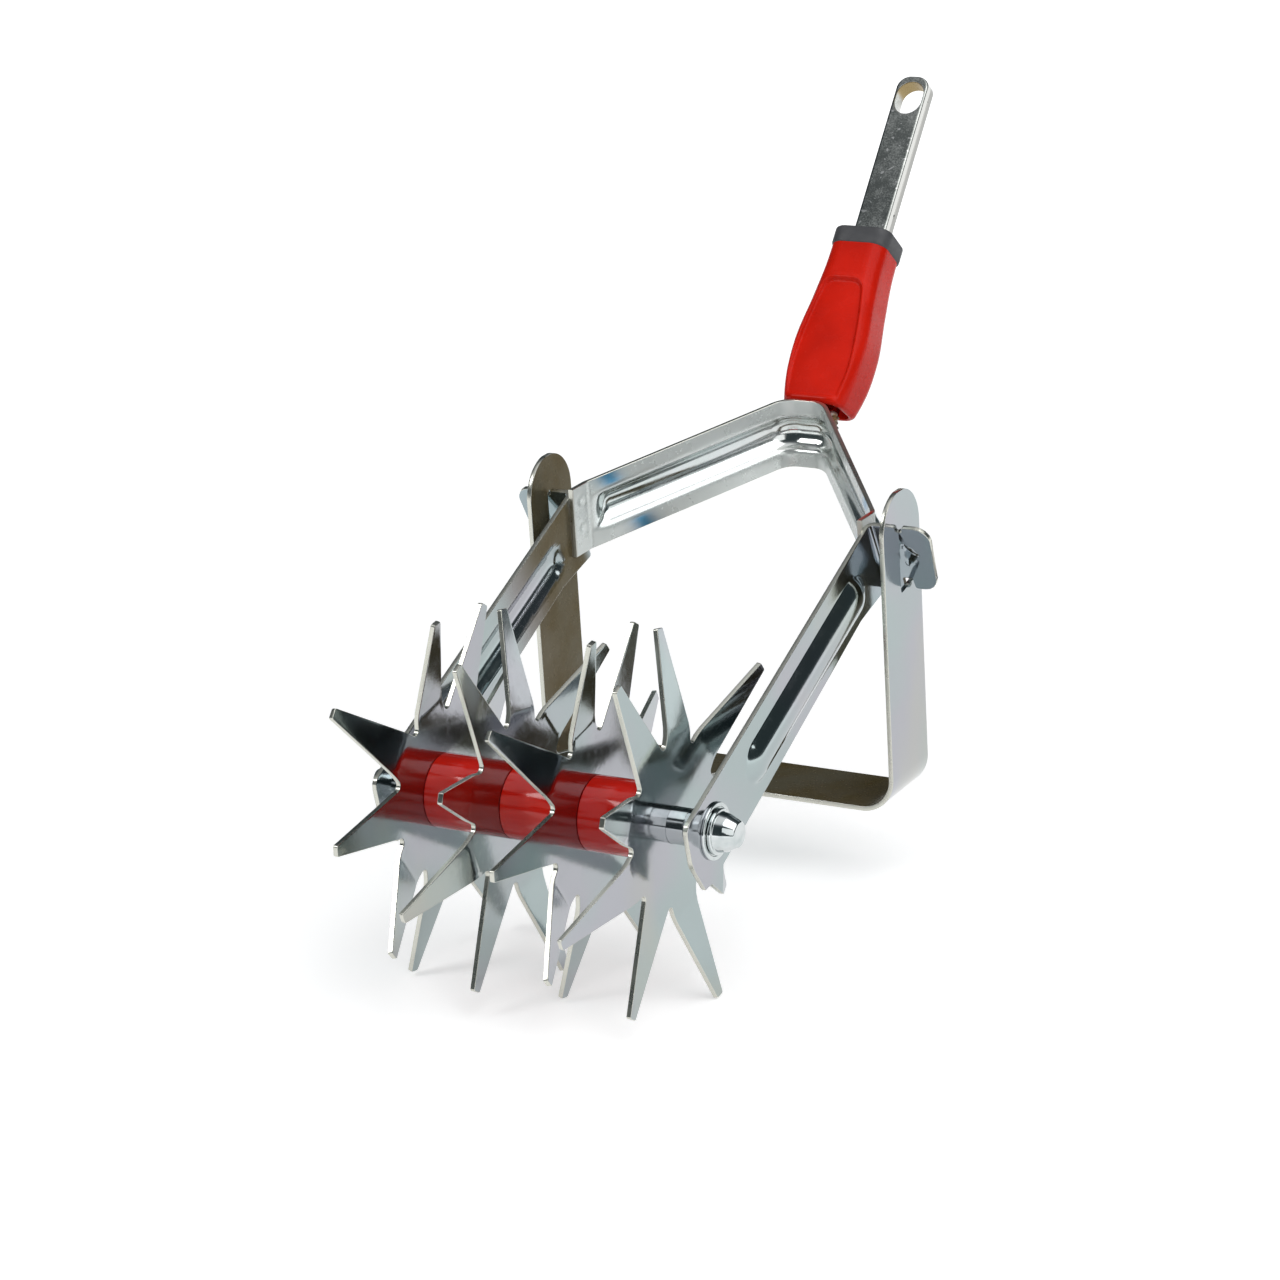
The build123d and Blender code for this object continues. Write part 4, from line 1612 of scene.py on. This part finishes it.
    def hole(self) -> Piece:
        """Latch hole: two half-circles and a short straight between, flared at both faces.

        Returns:
            The new object, to be cut out.
        """
        rise, front = self.axes()
        angle = round_angles(72)
        ring = circle(angle, *PLANE)
        shift = np.where(np.sin(angle) >= 0, 1.0, -1.0) * self.hole_straight
        middle = np.stack([0 * angle, shift], axis=1)
        outlines = [middle + ring * (self.hole_half + flare) for flare in self.hole_flares]
        axes = np.stack([ACROSS, rise, front])
        return prism("hole", outlines, self.hole_heights, axes, np.zeros(3))

    def panel_depth(self, places: Array, across: Array) -> Array:
        """Distance of a point inside the edge of the sunk panel, negative outside it.

        The panel's half-width follows a smooth curve; the upper corners are arcs, as the corner
        radius less the root of the squared shortfalls of the distances to the side and to the top.

        Args:
            places: Distances below the hole, one per row.
            across: Distances from the middle, per row and column.

        Returns:
            Array like across.
        """
        knots, radius = np.array(self.panel_knots), self.panel_corner
        width = spline(knots, np.array(self.panel_half), np.clip(places, knots[0], knots[-1]))
        slope = np.gradient(width, places)
        side = (width[:, None] - np.abs(across)) / np.hypot(1.0, slope)[:, None]
        top = (places - self.panel_top)[:, None]
        corner = radius - np.hypot(np.maximum(radius - side, 0.0), np.maximum(radius - top, 0.0))
        return np.minimum(corner, (self.panel_foot - places)[:, None])

    def grip(self) -> Piece:
        """Moulded grip: rounded-rectangle sections along the tang, swelling towards the foot.

        The front sinks to a level panel with soft edges. The foot rolls over and turns up into a
        shallow hollow round the tang.

        Returns:
            The new object.
        """
        start, edge, rim = self.collar_foot, self.grip_foot, self.foot_round
        body = np.concatenate([[start], np.linspace(start + 0.4, edge - rim, 150)])
        roll = np.radians([18.0, 36.0, 54.0, 72.0, 90.0])
        hollow = edge - np.array(self.hollow_steps)
        places = np.concatenate([body, edge - rim + rim * np.sin(roll), hollow])
        inset = np.concatenate([0 * body, rim * (1 - np.cos(roll)), self.hollow_insets])
        knots = np.array(self.grip_knots)
        tables = (self.grip_half, self.grip_front, self.grip_back)
        half, front, back = (spline(knots, np.array(table), places) for table in tables)
        loop = RoundedLoop.of(26, np.linspace(0.985, -0.985, 54), np.array([0.5, 0.0, -0.5]))
        depth = (front + back) / 2
        across, inward = loop.points(half - inset, depth - inset, self.grip_corner - inset)
        inward = inward + ((front - back) / 2)[:, None]
        inside = self.panel_depth(places, across)
        share = ease((inside + self.panel_edge) / self.panel_edge_width) * (inward > 0)
        floor = self.panel_floor - self.panel_crown * across**2
        lip = (inside + self.panel_lip_place) / self.panel_lip_place
        lip = self.panel_lip * np.exp(-(lip**2)) * (inward > 0)
        inward = inward * (1 - share) + np.minimum(inward, floor) * share + lip
        sloped = ease((places - self.slope_from) / self.slope_rise)[:, None] * self.foot_slope
        down = places[:, None] - sloped * (self.grip_foot_front - inward)
        return make_piece("grip_moulding", self.lay(down, across, inward), crease=60.0)

    def collar(self) -> Piece:
        """Dark collar: one rounded-rectangle section, its upper edge rounded over.

        Returns:
            The new object.
        """
        roll, rim = np.radians([90.0, 60.0, 30.0, 0.0]), self.collar_round
        below = self.collar_foot - np.array(self.collar_steps)
        places = np.concatenate([self.collar_top + rim * (1 - np.sin(roll)), below])
        inset = np.concatenate([rim * (1 - np.cos(roll)), self.collar_insets])
        loop = RoundedLoop.of(20, np.linspace(0.97, -0.97, 11), np.array([0.5, 0.0, -0.5]))
        depth = (self.collar_front + self.collar_back) / 2 - inset
        across, inward = loop.points(self.collar_half - inset, depth, self.collar_corner - inset)
        inward = inward + (self.collar_front - self.collar_back) / 2
        loops = self.lay(places[:, None], across, inward)
        return make_piece("collar_band", loops, crease=50.0)

    def build(self, palette: Palette) -> None:
        """Make and dress the tang, the grip and the collar.

        Args:
            palette: The finishes.
        """
        palette.settle(self.bar(), Body.YOKE, Slot.TANG, "tang")
        palette.settle(self.grip(), Body.YOKE, Slot.GRIP, "grip")
        palette.settle(self.collar(), Body.YOKE, Slot.COLLAR, "grip_collar")


@dataclass
class Studio:
    """Pale floor, soft light and the camera at the photograph's angle, in metres."""

    lens: float = 107.81
    sensor: float = 36.0
    camera_place: Triple = (0.7179, -1.5013, 0.3353)
    forward: Triple = (-0.47456, 0.81682, -0.32803)
    right: Triple = (0.8733, 0.4835, -0.0594)
    middle: Triple = (0.0, -0.2, -0.12)
    floor_radius: float = 14.0
    floor_back: float = -0.25
    floor_gap: float = 0.0004
    floor_colour: float = 0.8
    floor_glow: float = 0.52
    glow_from: float = 0.3
    glow_rise: float = 1.2
    sky: tuple[tuple[float, Triple], ...] = (
        (0.0, (0.13, 0.15, 0.155)),
        (0.10, (0.046, 0.060, 0.064)),
        (0.70, (0.040, 0.053, 0.057)),
        (0.83, (0.11, 0.12, 0.13)),
        (0.93, (0.90, 0.91, 0.93)),
        (1.0, (1.0, 1.0, 1.0)),
    )

    @staticmethod
    def aim(piece: Piece, side: Array, away: Array, place: Triple) -> None:
        """Turn a camera or lamp: its axes are its right, their cross product and its back.

        Args:
            piece: The object.
            side: Its right-hand direction.
            away: Direction against its view.
            place: Where it stands.
        """
        turned = np.eye(4)
        turned[:3, :3] = np.stack([side, np.cross(away, side), away], axis=1)
        turned[:3, 3] = place
        piece.matrix_world = Matrix(turned.tolist())

    def camera(self) -> None:
        """Set up the camera, its right-hand direction made square to its view."""
        ahead = unit(np.array(self.forward))
        side = unit(np.array(self.right) - ahead * (ahead @ np.array(self.right)))
        data = bpy.data.cameras.new("camera")
        data.lens = self.lens
        data.sensor_width = self.sensor
        data.clip_end = 100.0
        piece = add_object("camera", data)
        self.aim(piece, side, -ahead, self.camera_place)
        bpy.context.scene.camera = piece

    def floor(self) -> None:
        """Level round floor at the lowest star tip: rings of growing radius about the object."""
        radius = np.geomspace(0.05, self.floor_radius, 24)
        angle = round_angles(72)
        ring = circle(angle, ACROSS, BACK)
        middle = np.array([0.0, self.floor_back, cad_box[0].z - self.floor_gap])
        points = radius[:, None, None] * ring + middle
        faces = grid_faces(len(radius), len(angle), False).tolist() + [list(range(len(angle)))]
        mesh = bpy.data.meshes.new("floor")
        mesh.from_pydata(points.reshape(-1, 3).tolist(), [], faces)
        far = ease((radius - self.glow_from) / self.glow_rise)
        add_mark(mesh, "far", np.repeat(far, len(angle)))
        mesh.materials.append(self.floor_paint())
        piece = add_object("floor", mesh)

    def floor_paint(self) -> Material:
        """Matt white that glows for the camera and for reflections, and takes shadows.

        Returns:
            The material.
        """
        r = Recipe("floor_white")
        path = r.node("LightPath").outputs
        seen = r.sums("MAXIMUM", path["Is Camera Ray"], path["Is Glossy Ray"])
        seen = r.sums("MAXIMUM", seen, path["Is Transmission Ray"])
        glow = r.spread(r.mark("far"), (0.0, 1.0), (self.floor_glow, 1.0))
        return r.dress(
            Base_Color=(self.floor_colour,) * 3,
            Roughness=1.0,
            Specular_IOR_Level=0.0,
            Emission_Color=(1.0, 1.0, 1.0),
            Emission_Strength=r.sums("MULTIPLY", seen, glow),
        )

    def world(self) -> None:
        """Dim room under a bright ceiling, by the height of the direction, for every ray alike."""
        world = bpy.data.worlds.new("studio")
        world.use_nodes = True
        tree = world.node_tree
        tree.nodes.clear()
        kinds = ("TexCoord", "SeparateXYZ", "ValToRGB", "Background", "OutputWorld")
        place, split, ramp, light, output = (tree.nodes.new(f"ShaderNode{kind}") for kind in kinds)
        elements = ramp.color_ramp.elements
        for height, _ in self.sky[1:-1]:
            elements.new(height)
        for element, (height, colour) in zip(elements, self.sky):
            element.position = height
            element.color = (*colour, 1.0)
        tree.links.new(place.outputs["Generated"], split.inputs["Vector"])
        tree.links.new(split.outputs["Z"], ramp.inputs["Fac"])
        tree.links.new(ramp.outputs["Color"], light.inputs["Color"])
        tree.links.new(light.outputs["Background"], output.inputs["Surface"])
        bpy.context.scene.world = world

    def lamp(self, name: str, place: Triple, size: float, power: float) -> None:
        """Square soft lamp aimed at the middle of the object.

        Args:
            name: Name of the lamp.
            place: Where it hangs.
            size: Length of its side.
            power: Its power in watts.
        """
        data = bpy.data.lights.new(name, "AREA")
        data.shape = "SQUARE"
        data.size = size
        data.energy = power
        away = unit(np.array(place) - np.array(self.middle))
        side = unit(np.cross(UP + 0.01 * BACK, away))
        self.aim(add_object(name, data), side, away, place)

    def build(self) -> None:
        """Set up the view, the floor and the light."""
        bpy.context.scene.view_settings.view_transform = "Standard"
        self.camera()
        self.floor()
        self.world()
        self.lamp("softbox", (0.95, -0.35, 1.15), size=1.5, power=13.0)
        self.lamp("key", (-0.75, -1.05, 0.86), size=0.5, power=5.0)
        self.lamp("fill", (1.3, -1.4, 0.6), size=1.25, power=6.0)
        log.info("studio is ready")


def main() -> None:
    """Build the studio and each sub-assembly in order."""
    logging.basicConfig(level=logging.INFO, format="%(name)s: %(message)s")
    Studio().build()
    palette = Palette()
    Rotor().build(palette)
    Yoke().build(palette)
    Stirrup().build(palette)
    Handle().build(palette)


if __name__ == "__main__":
    main()
